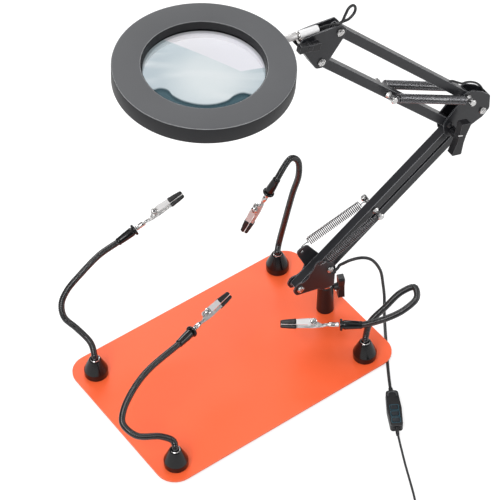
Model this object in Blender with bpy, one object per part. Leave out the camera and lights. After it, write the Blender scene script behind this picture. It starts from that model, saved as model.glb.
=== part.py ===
"""Helping hands magnifier: steel base plate, swing-arm ring magnifier on a swivel
post, four magnet-footed goosenecks with spring clips, and an inline lamp controller.

Frame: origin at the middle of the front left foot's underside, +X along the plate's
long side towards the post, +Y towards its rear long side, +Z up.  Sizes below are in
millimetres, measured from the middle of the plate's underside; ORIGIN moves them to the
frame's own origin, and they are turned into metres when a mesh is made.

The arm's linkage is drawn in the arm plane as (a, z), with a measured from the post's
axis along the plane.  In its part names "front" is the -a side, over the plate.
"""
import math

import bmesh
import bpy
from mathutils import Matrix, Vector

for old in list(bpy.data.objects):
    bpy.data.objects.remove(old, do_unlink=True)

MM = 0.001
PI = math.pi

# ------------------------------------------------------------------ shared dimensions
PLATE_L, PLATE_W, PLATE_T, PLATE_R = 300.0, 200.0, 2.0, 22.0
FOOT_X, FOOT_Y, FOOT_R, FOOT_H = 130.0, 80.0, 6.0, 4.5
GAP = 0.3                                    # clearance between neighbouring parts
SEAT_Z = PLATE_T + GAP                       # underside of what stands on the plate
ORIGIN = Vector((FOOT_X, FOOT_Y, FOOT_H))    # plate middle seen from the front left foot

POST_X, POST_Y, POST_TOP = 125.0, 0.0, 41.2
THUMB_HEADING, THUMB_Z, THUMB_REACH = -24.0, 34.5, 16.0
SPIGOT_R = 5.0
ARM_HEADING = -5.0                           # of the arm plane about the post, degrees

SHEET = 1.5                                  # sheet thickness of the folded brackets
CHEEK_OUT = 7.0                              # bracket half width
CHEEK_IN = CHEEK_OUT - SHEET
CHEEK_SEAT = CHEEK_OUT + GAP                 # where heads and nuts bear on a cheek
PIVOT_R, PIVOT_HOLE = 1.9, 2.25

# pivots of the linkage, (a, z); each pair of bars is parallel and equally long
LOWER_SPAN = (187.35, 140.1)
LOWER_FRONT_FOOT, LOWER_REAR_FOOT = (-36.7, 60.9), (0.7, 71.2)
LOWER_FRONT_TOP = (LOWER_FRONT_FOOT[0] + LOWER_SPAN[0], LOWER_FRONT_FOOT[1] + LOWER_SPAN[1])
LOWER_REAR_TOP = (LOWER_REAR_FOOT[0] + LOWER_SPAN[0], LOWER_REAR_FOOT[1] + LOWER_SPAN[1])
OUTER_FOOT, OUTER_TOP = (167.0, 239.5), (6.6, 402.1)
UPPER_SPAN = (OUTER_TOP[0] - OUTER_FOOT[0], OUTER_TOP[1] - OUTER_FOOT[1])
INNER_TOP = (-14.3, 373.9)
INNER_FOOT = (INNER_TOP[0] - UPPER_SPAN[0], INNER_TOP[1] - UPPER_SPAN[1])

# spring anchors, (a, z)
SPRING_Y = 12.0                              # springs' distance from the arm plane
FAR_HOOK, NEAR_HOOK = (-26.7, 102.4), (-13.0, 86.5)
LOWER_PIN = (57.5, 129.6)
UPPER_PIN_REACH = 112.5                      # from the inner bar's foot
upper_dir = Vector(UPPER_SPAN).normalized()
UPPER_PIN = (INNER_FOOT[0] + upper_dir.x * UPPER_PIN_REACH,
             INNER_FOOT[1] + upper_dir.y * UPPER_PIN_REACH)

TILT = (-32.0, 404.5)                        # tilt axis of the head
STEM_START, STEM_END = (-52.45, 414.2), (-14.0, 410.8)

# ------------------------------------------------------------------ materials
# name: (base colour, roughness, metallic)
PALETTE = {
    "orange_paint": ((0.90, 0.16, 0.05), 0.35, 0.0),
    "black_plastic": ((0.015, 0.015, 0.017), 0.35, 0.0),
    "black_paint": ((0.02, 0.02, 0.022), 0.38, 0.3),
    "grey_plastic": ((0.10, 0.105, 0.11), 0.6, 0.0),
    "rubber_black": ((0.012, 0.012, 0.012), 0.7, 0.0),
    "bright_steel": ((0.80, 0.80, 0.82), 0.2, 1.0),
    "spring_steel": ((0.08, 0.08, 0.085), 0.3, 1.0),
    "diffuser": ((0.85, 0.86, 0.85), 0.5, 0.0),
    "board": ((0.75, 0.78, 0.72), 0.6, 0.0),
    "clear": ((0.80, 0.87, 0.95), 0.02, 0.0),
    "blue_button": ((0.05, 0.12, 0.18), 0.5, 0.0),
}


def make_material(name, colour, roughness, metallic):
    material = bpy.data.materials.new(name)
    material.use_nodes = True
    inputs = material.node_tree.nodes["Principled BSDF"].inputs
    inputs["Base Color"].default_value = (*colour, 1.0)
    inputs["Roughness"].default_value = roughness
    inputs["Metallic"].default_value = metallic
    return material


MATERIALS = {name: make_material(name, *look) for name, look in PALETTE.items()}


# ------------------------------------------------------------------ frames
def turn(degrees, axis):
    return Matrix.Rotation(math.radians(degrees), 4, axis)


def place(x, y, z=0.0):
    return Matrix.Translation((x, y, z))


QUARTER_X = Matrix.Rotation(PI / 2, 4, "X")    # stands an XY outline up: Y to Z, Z to -Y
QUARTER_Y = Matrix.Rotation(PI / 2, 4, "Y")    # lays Z onto X
AT_POST = place(POST_X, POST_Y)
ARM = AT_POST @ turn(ARM_HEADING, "Z")
PLANE = ARM @ QUARTER_X                        # lays XY onto (a, z)
THUMB = turn(THUMB_HEADING, "Z") @ place(0, 0, THUMB_Z) @ QUARTER_Y    # as seen from the post


def arm(a, z, y=0.0):
    """Plate-frame point of one given in the arm plane, y off it."""
    return ARM @ Vector((a, y, z))


def arm_axis(a, z):
    """Frame at (a, z) whose Z runs along the arm plane's normal, rearwards."""
    return ARM @ place(a, 0.0, z) @ Matrix.Rotation(-PI / 2, 4, "X")


def aim(origin, direction, up=(0, 0, 1)):
    """Frame with X along direction and Z as near to up as it can be."""
    x = Vector(direction).normalized()
    y = Vector(up).cross(x).normalized()
    z = x.cross(y)
    frame = Matrix((x, y, z)).transposed().to_4x4()
    frame.translation = Vector(origin)
    return frame


# ------------------------------------------------------------------ objects
PIVOTS = {}


def pivot(name, point, heading=0.0):
    """Empty that parts hang from, at a joint's axis."""
    empty = bpy.data.objects.new(name + "_axis", None)
    empty.empty_display_size = 0.01
    empty.matrix_world = Matrix.Translation((Vector(point) + ORIGIN) * MM) @ turn(heading, "Z")
    bpy.context.scene.collection.objects.link(empty)
    PIVOTS[name] = empty


def finish(bm, name, material, parent, frame=Matrix.Identity(4)):
    """Place the bmesh by frame and make it an object under the parent pivot."""
    bm.transform(Matrix.Translation(ORIGIN) @ frame)
    bmesh.ops.remove_doubles(bm, verts=bm.verts, dist=1e-5)
    bmesh.ops.recalc_face_normals(bm, faces=bm.faces)
    empty = PIVOTS[parent]
    bm.transform(empty.matrix_world.inverted() @ Matrix.Scale(MM, 4))
    mesh = bpy.data.meshes.new(name)
    bm.to_mesh(mesh)
    bm.free()
    mesh.materials.append(MATERIALS[material])
    mesh.shade_smooth()
    mesh.set_sharp_from_angle(angle=math.radians(40.0))
    part = bpy.data.objects.new(name, mesh)
    bpy.context.scene.collection.objects.link(part)
    part.parent = empty


# ------------------------------------------------------------------ outlines and paths
def arc(cx, cy, r, angles):
    return [(cx + r * math.cos(t), cy + r * math.sin(t)) for t in angles]


def circle(cx, cy, r, count=12):
    return arc(cx, cy, r, [2 * PI * i / count for i in range(count)])


def rounded(corners, steps=3):
    """Outline through (x, y, radius) corners, each turned into an arc unless its radius is 0."""
    out = []
    for i, (x, y, radius) in enumerate(corners):
        if radius <= 0:
            out.append((x, y))
            continue
        corner = Vector((x, y))
        back = Vector(corners[i - 1][:2]) - corner
        ahead = Vector(corners[(i + 1) % len(corners)][:2]) - corner
        half = back.angle(ahead) / 2
        # where a side is too short the arc shrinks to fit it
        reach = min(radius / math.tan(half), back.length * 0.49, ahead.length * 0.49)
        fitted = reach * math.tan(half)
        back.normalize()
        ahead.normalize()
        centre = corner + (back + ahead).normalized() * (fitted / math.sin(half))
        first = corner + back * reach - centre
        last = corner + ahead * reach - centre
        span = first.angle_signed(last)
        for k in range(steps + 1):
            t = -span * k / steps
            out.append((centre.x + first.x * math.cos(t) - first.y * math.sin(t),
                        centre.y + first.x * math.sin(t) + first.y * math.cos(t)))
    return out


def blend(p, q, start, end, t):
    return p * ((end - t) / (end - start)) + q * ((t - start) / (end - start))


def smooth_path(points, steps):
    """Centripetal Catmull-Rom curve through the points."""
    pts = [Vector(p) for p in points]
    pts = [pts[0] * 2 - pts[1]] + pts + [pts[-1] * 2 - pts[-2]]
    out = []
    for i in range(1, len(pts) - 2):
        p0, p1, p2, p3 = pts[i - 1:i + 3]
        t0 = 0.0
        t1 = t0 + (p1 - p0).length ** 0.5
        t2 = t1 + (p2 - p1).length ** 0.5
        t3 = t2 + (p3 - p2).length ** 0.5
        for k in range(steps):
            t = t1 + (t2 - t1) * k / steps
            middle = blend(p1, p2, t1, t2, t)
            before = blend(blend(p0, p1, t0, t1, t), middle, t0, t2, t)
            after = blend(middle, blend(p2, p3, t2, t3, t), t1, t3, t)
            out.append(blend(before, after, t1, t2, t))
    out.append(pts[-2])
    return out


# ------------------------------------------------------------------ solids
def prism(outline, z0, z1, holes=()):
    """XY outline with holes, extruded along Z from z0 to z1."""
    bm = bmesh.new()
    edges = []
    for loop in (outline, *holes):
        verts = [bm.verts.new((x, y, z0)) for x, y in loop]
        for i in range(len(verts)):
            edges.append(bm.edges.new((verts[i - 1], verts[i])))
    bmesh.ops.triangle_fill(bm, edges=edges, use_beauty=True)
    made = bmesh.ops.extrude_face_region(bm, geom=list(bm.faces))
    top = [g for g in made["geom"] if isinstance(g, bmesh.types.BMVert)]
    bmesh.ops.translate(bm, verts=top, vec=(0, 0, z1 - z0))
    bmesh.ops.recalc_face_normals(bm, faces=bm.faces)
    return bm


def revolve(profile, count=20, closed=False):
    """Turn (r, z) points about Z.  Points with r = 0 become poles; a closed profile
    makes a ring."""
    bm = bmesh.new()
    rings = []
    for r, z in profile:
        if r < 1e-9:
            rings.append([bm.verts.new((0, 0, z))])
        else:
            rings.append([bm.verts.new((x, y, z)) for x, y in circle(0, 0, r, count)])
    pairs = list(zip(rings, rings[1:]))
    if closed:
        pairs.append((rings[-1], rings[0]))
    for a, b in pairs:
        for i in range(count):
            j = (i + 1) % count
            if len(a) == 1:
                bm.faces.new((a[0], b[i], b[j]))
            elif len(b) == 1:
                bm.faces.new((a[i], b[0], a[j]))
            else:
                bm.faces.new((a[i], b[i], b[j], a[j]))
    bmesh.ops.recalc_face_normals(bm, faces=bm.faces)
    return bm


def shaft(steps, count=12):
    """Solid shaft about Z through (z, r) steps, closed at both ends."""
    profile = [(r, z) for z, r in steps]
    return revolve([(0.0, steps[0][0]), *profile, (0.0, steps[-1][0])], count)


def cylinder(z0, z1, r, count):
    return shaft([(z0, r), (z1, r)], count)


def tube(stations, count):
    """Solid round tube through (point, radius) stations, with flat ends."""
    points = [Vector(p) for p, _ in stations]
    last = len(points) - 1
    dirs = [(points[min(i + 1, last)] - points[max(i - 1, 0)]).normalized()
            for i in range(len(points))]
    ref = Vector((0, 0, 1)) if abs(dirs[0].z) < 0.9 else Vector((1, 0, 0))
    side = dirs[0].cross(ref).normalized()
    bm = bmesh.new()
    rings = []
    for point, (_, radius), along in zip(points, stations, dirs):
        # carry the side vector on so that the tube doesn't twist
        side = (side - along * side.dot(along)).normalized()
        up = along.cross(side)
        rings.append([bm.verts.new(point + (side * x + up * y) * radius)
                      for x, y in circle(0, 0, 1, count)])
    for a, b in zip(rings, rings[1:]):
        for i in range(count):
            j = (i + 1) % count
            bm.faces.new((a[i], a[j], b[j], b[i]))
    bm.faces.new(list(reversed(rings[0])))
    bm.faces.new(rings[-1])
    bmesh.ops.recalc_face_normals(bm, faces=bm.faces)
    return bm


def box(x0, x1, y0, y1, z0, z1):
    bm = bmesh.new()
    bmesh.ops.create_cube(bm, size=1.0)
    bm.transform(place((x0 + x1) / 2, (y0 + y1) / 2, (z0 + z1) / 2)
                 @ Matrix.Diagonal((x1 - x0, y1 - y0, z1 - z0, 1)))
    return bm


def moved(bm, frame):
    bm.transform(frame)
    return bm


def boolean(operation, body, tool):
    """Exact Boolean of two bmeshes; both are used up."""
    work = []
    for bm in (body, tool):
        bmesh.ops.recalc_face_normals(bm, faces=bm.faces)
        mesh = bpy.data.meshes.new("work")
        bm.transform(Matrix.Scale(MM, 4))
        bm.to_mesh(mesh)
        bm.free()
        ob = bpy.data.objects.new("work", mesh)
        bpy.context.scene.collection.objects.link(ob)
        work.append(ob)
    modifier = work[0].modifiers.new("cut", "BOOLEAN")
    modifier.operation = operation
    modifier.solver = "EXACT"
    modifier.object = work[1]
    bpy.context.view_layer.update()
    depsgraph = bpy.context.evaluated_depsgraph_get()
    out = bmesh.new()
    out.from_mesh(work[0].evaluated_get(depsgraph).to_mesh())
    out.transform(Matrix.Scale(1 / MM, 4))
    for ob in work:
        bpy.data.objects.remove(ob, do_unlink=True)
    bmesh.ops.remove_doubles(out, verts=out.verts, dist=1e-4)
    bmesh.ops.dissolve_degenerate(out, edges=out.edges, dist=1e-4)
    return out


def cut(body, *tools):
    for tool in tools:
        body = boolean("DIFFERENCE", body, tool)
    return body


def join(body, tool):
    return boolean("UNION", body, tool)


# ------------------------------------------------------------------ base and post
POST_R_BASE, POST_R_TOP = 9.6, 8.3
BORE_FLOOR = 10.5                  # bottom of the spigot's bore in the post
POST_SCREW_R, POST_SCREW_TOP, POST_SCREW_HOLE = 2.4, 8.3, 2.8


def base_plate():
    hx, hy = PLATE_L / 2, PLATE_W / 2
    outline = rounded([(-hx, -hy, PLATE_R), (hx, -hy, PLATE_R),
                       (hx, hy, PLATE_R), (-hx, hy, PLATE_R)], 8)
    hole = circle(POST_X, POST_Y, POST_SCREW_HOLE, 16)
    finish(prism(outline, 0.0, PLATE_T, [hole]), "base_plate", "orange_paint", "base")


def plate_foot(tag, side_x, side_y):
    profile = [(0, -FOOT_H), (FOOT_R - 1, -FOOT_H), (FOOT_R, -FOOT_H + 1),
               (FOOT_R + 0.6, -GAP), (0, -GAP)]
    finish(revolve(profile, 16), "foot_" + tag, "rubber_black", "base",
           place(side_x * FOOT_X, side_y * FOOT_Y))


def post_socket():
    bore = SPIGOT_R + GAP
    body = revolve([(0, SEAT_Z), (POST_R_BASE - 1.2, SEAT_Z), (POST_R_BASE, SEAT_Z + 1.2),
                    (POST_R_TOP + 0.3, POST_TOP - 2), (POST_R_TOP - 0.5, POST_TOP),
                    (bore, POST_TOP), (bore, BORE_FLOOR), (0, BORE_FLOOR)], 24)
    screw_hole = cylinder(SEAT_Z - 2, 8.7, POST_SCREW_HOLE, 16)
    thumb_hole = moved(cylinder(2.0, 14.0, 2.7, 16), THUMB)
    finish(cut(body, screw_hole, thumb_hole), "post_socket", "black_plastic", "base", AT_POST)


def post_screw():
    """Screw up through the plate into the post; its head is below the plate."""
    steps = [(-3.0, 3.6), (-2.4, 4.8), (-GAP, 4.8), (-GAP, POST_SCREW_R),
             (POST_SCREW_TOP, POST_SCREW_R)]
    finish(shaft(steps, 16), "post_screw", "bright_steel", "base", AT_POST)


def wings(length, waist, tip, z0, z1, corner=2.0):
    """Bow-tie plate about Z: two lobes that widen from the hub to their tips."""
    inner = length * 0.25
    return prism(rounded([
        (-length, -tip, corner), (-inner, -waist, waist), (inner, -waist, waist),
        (length, -tip, corner), (length, tip, corner), (inner, waist, waist),
        (-inner, waist, waist), (-length, tip, corner)]), z0, z1)


def post_thumb_screw():
    """Wing screw that clamps the spigot."""
    screw = shaft([(5.5, 2.3), (9.4, 2.3), (9.4, 3.6), (13.0, 4.4),
                   (15.0, 4.4), (15.0, 2.5), (16.2, 2.5)])
    finish(join(screw, wings(14.5, 3.6, 5.6, 13.5, 20.5)),
           "post_thumb_screw", "black_plastic", "thumb", AT_POST @ THUMB)


# ------------------------------------------------------------------ yoke
WEB_Z = 43.3                       # underside of the web that joins the cheeks

# (a, z, corner radius)
YOKE_OUTLINE = [
    (6.5, WEB_Z, 2.0), (7.8, 72.0, 6.0), (4.5, 79.0, 4.0), (-5.0, 87.0, 6.0),
    (-20.5, 110.0, 6.0), (-33.5, 106.0, 5.5), (-31.5, 98.0, 5.0), (-23.5, 80.0, 4.0),
    (-26.0, 72.5, 4.0), (-32.0, 69.0, 5.0), (-41.0, 69.5, 6.0), (-45.2, 61.0, 5.0),
    (-41.5, 53.5, 5.0), (-14.0, 48.5, 4.0), (-9.0, WEB_Z, 2.0)]
# what is cut off the -Y cheek's top, which ends lower, round its own spring hook
LOW_CHEEK_CUT = [
    (12, 77, 0), (5, 79.5, 2.5), (-3.4, 84, 2), (-9.5, 90.5, 3.5), (-16.5, 90.5, 3.5),
    (-18.5, 84.5, 1.5), (-23, 78, 0), (-60, 78, 0), (-60, 130, 0), (12, 130, 0)]


def pivot_holes(*points):
    return [circle(*p, PIVOT_HOLE) for p in points]


def yoke():
    holes = pivot_holes(LOWER_FRONT_FOOT, LOWER_REAR_FOOT) + [circle(*FAR_HOOK, 1.7, 10)]
    body = prism(rounded(YOKE_OUTLINE), -CHEEK_OUT, CHEEK_OUT, holes)
    through_near = (CHEEK_IN - 0.5, CHEEK_OUT + 0.5)    # span through the -Y cheek
    body = cut(body,
               box(-90, 60, WEB_Z + SHEET, 200, -CHEEK_IN, CHEEK_IN),
               moved(cylinder(-10, 10, 3.3, 14), place(0, WEB_Z) @ QUARTER_X),
               prism(rounded(LOW_CHEEK_CUT), *through_near),
               moved(cylinder(*through_near, 1.3, 10), place(*NEAR_HOOK)))
    finish(body, "yoke", "black_paint", "yoke", PLANE)


def yoke_spigot():
    """Spigot in the post's bore, with a collar below the web and a rivet head above."""
    collar, neck = 7.6, 3.0
    web_top = WEB_Z + SHEET
    steps = [(12.0, SPIGOT_R - 1), (13.0, SPIGOT_R), (POST_TOP + GAP, SPIGOT_R),
             (POST_TOP + GAP, collar), (WEB_Z - GAP, collar), (WEB_Z - GAP, neck),
             (web_top + GAP, neck), (web_top + GAP, 4.6), (web_top + 1.8, 4.0)]
    finish(shaft(steps, 16), "yoke_spigot", "bright_steel", "yoke", AT_POST)


# ------------------------------------------------------------------ linkage hardware
def shank_and_nut(tail):
    """(z, r) steps of a shank through both cheeks, its nut, and its tip tail past the cheek."""
    nut_r, nut_top = 3.8, CHEEK_SEAT + 2.4
    return [(-CHEEK_SEAT, PIVOT_R), (CHEEK_SEAT, PIVOT_R), (CHEEK_SEAT, nut_r),
            (nut_top, nut_r), (nut_top, PIVOT_R), (CHEEK_SEAT + tail, PIVOT_R - 0.3)]


def pivot_screw(name, at, parent, head=4.3):
    """Slotted screw through both cheeks with its nut on the rear (+Y) side."""
    seat = CHEEK_SEAT
    body = shaft([(-seat - 2.2, head * 0.55), (-seat - 1.5, head * 0.92),
                  (-seat - 0.5, head), (-seat, head)] + shank_and_nut(3.4))
    slot = box(-6, 6, -0.55, 0.55, -seat - 4, -seat - 1.1)
    finish(cut(body, slot), name, "bright_steel", parent, arm_axis(*at) @ turn(-40, "Z"))


def bar(name, start, end, parent, extra=()):
    """Square tube from start to end with round ends and cross holes."""
    half, wall = 5.0, 1.0
    span = Vector(end) - Vector(start)
    length, angle = span.length, math.atan2(span.y, span.x)
    outline = arc(0, 0, half, [PI / 2 + PI * i / 6 for i in range(7)])
    outline += arc(length, 0, half, [-PI / 2 + PI * i / 6 for i in range(7)])
    level = Matrix.Rotation(-angle, 2)
    across = [level @ (Vector(point) - Vector(start)) for point in extra]
    body = prism(outline, -half, half, pivot_holes((0, 0), (length, 0), *across))
    core = half - wall
    body = cut(body, box(-3 * half, length + 3 * half, -core, core, -core, core))
    finish(body, name, "black_paint", parent,
           PLANE @ place(*start) @ Matrix.Rotation(angle, 4, "Z"))


def spring_pin(name, at, parent, inner):
    """Spool-ended pin: collar, groove for the spring eye and knob on both sides."""
    half = [(inner, PIVOT_R), (inner, 3.9), (inner + 1.2, 3.9), (inner + 3.6, 2.2),
            (14.0, 2.2), (14.0, 3.3), (15.0, 3.8), (17.4, 3.8), (18.4, 3.0)]
    steps = [(-z, r) for z, r in reversed(half)] + half
    finish(shaft(steps), name, "bright_steel", parent, arm_axis(*at))


def spring(name, start, end, parent, lead, coil):
    """Tension spring as a plain round solid with a slim shank at each end.  start and
    end are (a, z, y); lead and coil are where the shank and the coil begin past start."""
    shank_r, coil_r = 0.8, 4.3
    end_coil, end_lead = 7.8, 2.8            # the same, back from the end
    origin = arm(*start)
    span = arm(*end) - origin
    length = span.length
    steps = [(lead, shank_r), (coil, shank_r), (coil, coil_r), (length - end_coil, coil_r),
             (length - end_coil, shank_r), (length - end_lead, shank_r)]
    finish(shaft(steps), name, "spring_steel", parent, aim(origin, span) @ QUARTER_Y)


def wing_knob(name, at, parent, head, tail, lobes, heading):
    """Wing knob on the -Y side, its shank through both cheeks and a nut on the other."""
    body = join(shaft(head + shank_and_nut(tail)), moved(lobes, turn(heading, "Z")))
    finish(body, name, "black_plastic", parent, arm_axis(*at))


# ------------------------------------------------------------------ elbow bracket
# (a, z, corner radius)
ELBOW_OUTLINE = [
    (138.5, 216.0, 4.0), (141.0, 199.0, 6.0), (150.0, 191.5, 6.5), (160.5, 195.5, 5.0),
    (175.5, 197.0, 6.0), (189.0, 202.0, 7.0), (197.4, 210.5, 5.0), (196.8, 229.0, 4.0),
    (186.0, 238.5, 6.0), (173.0, 246.0, 6.0), (161.5, 246.0, 6.0), (157.5, 236.0, 5.0)]
ELBOW_WEB = 195.2                  # inner face of the web along the bracket's +a edge


def elbow_bracket():
    body = prism(rounded(ELBOW_OUTLINE), -CHEEK_OUT, CHEEK_OUT,
                 pivot_holes(LOWER_FRONT_TOP, INNER_FOOT, LOWER_REAR_TOP, OUTER_FOOT))
    body = cut(body, box(100, ELBOW_WEB, 150, 300, -CHEEK_IN, CHEEK_IN))
    finish(body, "elbow_bracket", "black_paint", "elbow", PLANE)


# ------------------------------------------------------------------ head bracket and stem
# ends of the fold that joins the cheeks, along the sloping -a edge below the stem
FOLD_TOP, FOLD_FOOT = (-32.6, 391.0), (-20.8, 368.0)
# (a, z, corner radius)
HEAD_OUTLINE = [
    (-38.6, 400.5, 4.0), (*FOLD_TOP, 4.0), (*FOLD_FOOT, 5.0), (-13.0, 365.6, 6.0),
    (-6.0, 371.5, 5.0), (10.5, 393.0, 4.0), (14.4, 402.0, 5.5), (8.5, 410.3, 4.0),
    (-20.0, 411.8, 3.0), (-37.5, 411.5, 4.0)]


def head_bracket():
    body = prism(rounded(HEAD_OUTLINE), -CHEEK_OUT, CHEEK_OUT,
                 pivot_holes(OUTER_TOP, INNER_TOP, TILT))
    fold = (Vector(FOLD_FOOT) - Vector(FOLD_TOP)).normalized()
    inside = Vector(FOLD_TOP) + Vector((-fold.y, fold.x)) * SHEET    # fold's inner face
    upper, lower = inside - fold, inside + fold * 34.0
    hollow = [tuple(upper), tuple(lower), (100, inside.y - 60), (100, 480),
              (-100, 480), (-100, upper.y)]
    body = cut(body, prism(hollow, -CHEEK_IN, CHEEK_IN))
    finish(body, "head_bracket", "black_paint", "head_bracket", PLANE)


def stem_and_tilt_block():
    """Rod from the ring, and the block on the tilt axis whose barrel holds it."""
    start, end = arm(*STEM_START), arm(*STEM_END)
    stem = aim(start, end - start) @ QUARTER_Y       # Z along the stem, away from the ring
    length = (end - start).length
    shoulder, rod_r = 16.0, 2.1
    finish(shaft([(0.0, 3.5), (shoulder, 3.5), (shoulder, rod_r), (length - 4.0, rod_r)], 16),
           "stem_rod", "bright_steel", "head", stem)

    eye_r, eye_half = 5.0, 4.9
    eye = revolve([(PIVOT_HOLE, -eye_half), (eye_r, -eye_half),
                   (eye_r, eye_half), (PIVOT_HOLE, eye_half)], 16, closed=True)
    eye = join(eye, box(-2.6, 2.6, -7.4, -3.0, -3.0, 3.0))     # neck up to the barrel
    eye.transform(stem.inverted() @ arm_axis(*TILT))
    barrel = shaft([(shoulder + 0.4, 3.3), (length - 1.0, 3.3), (length, 2.4)], 16)
    block = cut(join(barrel, eye), cylinder(10.0, length - 3.0, rod_r + GAP, 16))
    finish(block, "tilt_block", "bright_steel", "tilt", stem)


# ------------------------------------------------------------------ ring head
RING_A, RING_Z = -138.6, 424.6     # middle of the ring's top
RING_R, RING_OPEN, RING_H = 86.1, 58.3, 18.6
RING_SLOPE = 2.4                   # the head hangs this far out of level both ways, degrees
RING_SIDES = 40
AT_RING = ARM @ place(RING_A, 0.0, RING_Z) @ turn(RING_SLOPE, "Y") @ turn(RING_SLOPE, "X")


def ring_part(profile, name, material, count=RING_SIDES, closed=True):
    """Turned part of the head; (r, z) with z = 0 at the ring's top."""
    finish(revolve(profile, count, closed), name, material, "head", AT_RING)


def ring_head():
    bottom = -RING_H
    inner, outer = RING_OPEN + 4.7, RING_R - 2.0     # walls of the channel open below
    ring_part([(RING_OPEN, 0.0), (RING_OPEN, -8.6), (RING_OPEN + 2.9, -8.6),
               (RING_OPEN + 2.9, bottom + 1.4), (inner, bottom + 1.4), (inner, -2.4),
               (outer, -2.4), (outer, bottom), (RING_R, bottom), (RING_R, -2.2),
               (RING_R - 1.6, 0.0)], "ring_housing", "grey_plastic")
    ring_part([(RING_OPEN - 1.7, bottom - 1.0), (outer - GAP, bottom - 1.0),
               (outer - GAP, bottom + 0.8), (RING_OPEN + 2.6, bottom + 0.8),
               (RING_OPEN + 2.6, -13.0), (RING_OPEN - 1.7, -13.0)], "ring_cover", "diffuser")
    ring_part([(66.0, -4.3), (82.0, -4.3), (82.0, -2.7), (66.0, -2.7)],
              "led_board", "board", 32)
    lens_r = RING_OPEN + 2.5
    # rim edges at z -9.0 and -12.4, domed by 2.4 above and 2.2 below
    dome = [(lens_r * i / 4, -9.0 + 2.4 * (1 - (i / 4) ** 2)) for i in range(5)]
    belly = [(lens_r * i / 4, -12.4 - 2.2 * (1 - (i / 4) ** 2)) for i in range(4, -1, -1)]
    ring_part(dome + belly, "lens", "clear", closed=False)


# ------------------------------------------------------------------ magnet feet, goosenecks, clips
CONE_R, CONE_WALL, CONE_H, NECK_R = 12.8, 8.0, 24.0, 3.5
BOOT_L, CLIP_L = 23.0, 62.0
RIVET = (27.5, 3.4)                          # x, z in the clip's frame
LEAN = Vector((-0.393, -0.559, 0.730))       # the clips' rivets all lean this way

# tag: foot centre, bend points of the gooseneck, flange of its boot,
#      point the clip aims at, side its rivet rises to
ARMS = {
    "fl": ((-127.0, -78.0),
           [(-125.6, -73.0, 33.2), (-136.1, -66.1, 41.9), (-158.0, -55.5, 49.0),
            (-163.7, -39.9, 56.8), (-156.9, -31.1, 62.8), (-139.4, -21.0, 70.6),
            (-113.6, -11.3, 76.2)],
           (-47.0, 3.0, 80.0), (14.0, 22.0, 78.0), 1),
    "bl": ((-127.0, 72.4),
           [(-124.0, 83.2, 38.6), (-130.6, 98.1, 52.9), (-138.0, 109.8, 65.4),
            (-135.3, 117.4, 77.9), (-124.9, 121.8, 87.9), (-103.8, 125.5, 97.7),
            (-76.8, 131.0, 104.3)],
           (-29.2, 132.9, 112.3), (29.9, 129.1, 132.2), 1),
    "br": ((118.6, 79.2),
           [(124.3, 84.6, 31.9), (130.6, 81.8, 66.8), (137.1, 75.9, 112.4),
            (140.3, 69.2, 145.0), (139.0, 69.8, 165.5), (129.8, 70.0, 173.5)],
           (101.4, 71.8, 137.2), (81.6, 85.9, 83.0), -1),
    "fr": ((117.5, -79.7),
           [(120.1, -77.6, 32.6), (125.8, -76.6, 48.2), (143.3, -80.6, 65.4),
            (159.1, -85.5, 81.7), (171.0, -92.6, 87.9), (166.3, -102.3, 83.7),
            (150.7, -103.0, 76.6), (133.6, -97.2, 69.5)],
           (94.8, -64.0, 53.9), (44.2, -25.9, 54.2), -1),
}

# side view of the lower jaw with its stem and rivet ears: (x, z, corner radius)
CLIP_SIDE = [
    (0.6, -1.65, 0.5), (14.0, -1.65, 2.0), (21.0, -3.0, 3.0), (30.0, -3.7, 4.0),
    (46.0, -3.6, 4.0), (CLIP_L, -2.7, 0.8), (CLIP_L, -0.3, 0.0), (34.0, -0.4, 2.0),
    (30.2, 3.4, 2.0), (28.6, 5.9, 2.0), (26.2, 5.9, 2.0), (24.6, 3.6, 2.0),
    (19.0, 0.9, 2.5), (13.0, 1.65, 2.0), (0.6, 1.65, 0.5)]
# hollows of both jaws, (x, z)
CLIP_HOLLOW = [(21.0, -2.1), (30.0, -2.8), (46.0, -2.7), (CLIP_L + 4, -1.7),
               (CLIP_L + 4, 9.0), (21.0, 9.0)]
JAW_HOLLOW = [(20.0, -6.0), (CLIP_L + 4, -6.0), (CLIP_L + 4, 2.0), (CLIP_L - 1.2, 2.4),
              (46.0, 4.8), (34.0, 5.8), (29.6, 6.0), (29.6, 12.0), (20.0, 12.0)]


def upright(outline, half_width, holes=()):
    """Prism of an (x, z) side view, half_width to either side in y."""
    return moved(prism(outline, -half_width, half_width, holes), QUARTER_X)


def clip_body():
    """Lower jaw with its stem along +X, and the rivet."""
    body = cut(upright(rounded(CLIP_SIDE, 2), 3.1),
               box(-2.0, 16.0, -5.0, -2.0, -6.0, 6.0),      # the stem is narrower
               box(-2.0, 16.0, 2.0, 5.0, -6.0, 6.0),
               box(3.0, 19.0, -5.0, -0.9, -0.75, 0.75),     # groove along each side
               box(3.0, 19.0, 0.9, 5.0, -0.75, 0.75),
               upright(CLIP_HOLLOW, 2.3))
    half = [(4.5, 0.9), (4.5, 2.0), (5.0, 2.0), (5.3, 1.6)]
    rivet = shaft([(-z, r) for z, r in reversed(half)] + half, 10)
    rivet.transform(place(RIVET[0], 0, RIVET[1]) @ Matrix.Rotation(-PI / 2, 4, "X"))
    return join(body, rivet)


def clip_jaw():
    """Upper jaw, curled round the rivet at its back end."""
    outline = arc(*RIVET, 3.6, [PI * t / 180 for t in (62, *range(90, 301, 30))])
    outline += [(33.0, 0.1), (CLIP_L, 0.0), (CLIP_L, 2.4), (CLIP_L - 1.2, 3.2),
                (46.0, 5.6), (34.0, 6.6)]
    return cut(upright(outline, 4.2, [circle(*RIVET, 1.25, 10)]), upright(JAW_HOLLOW, 3.4))


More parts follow.
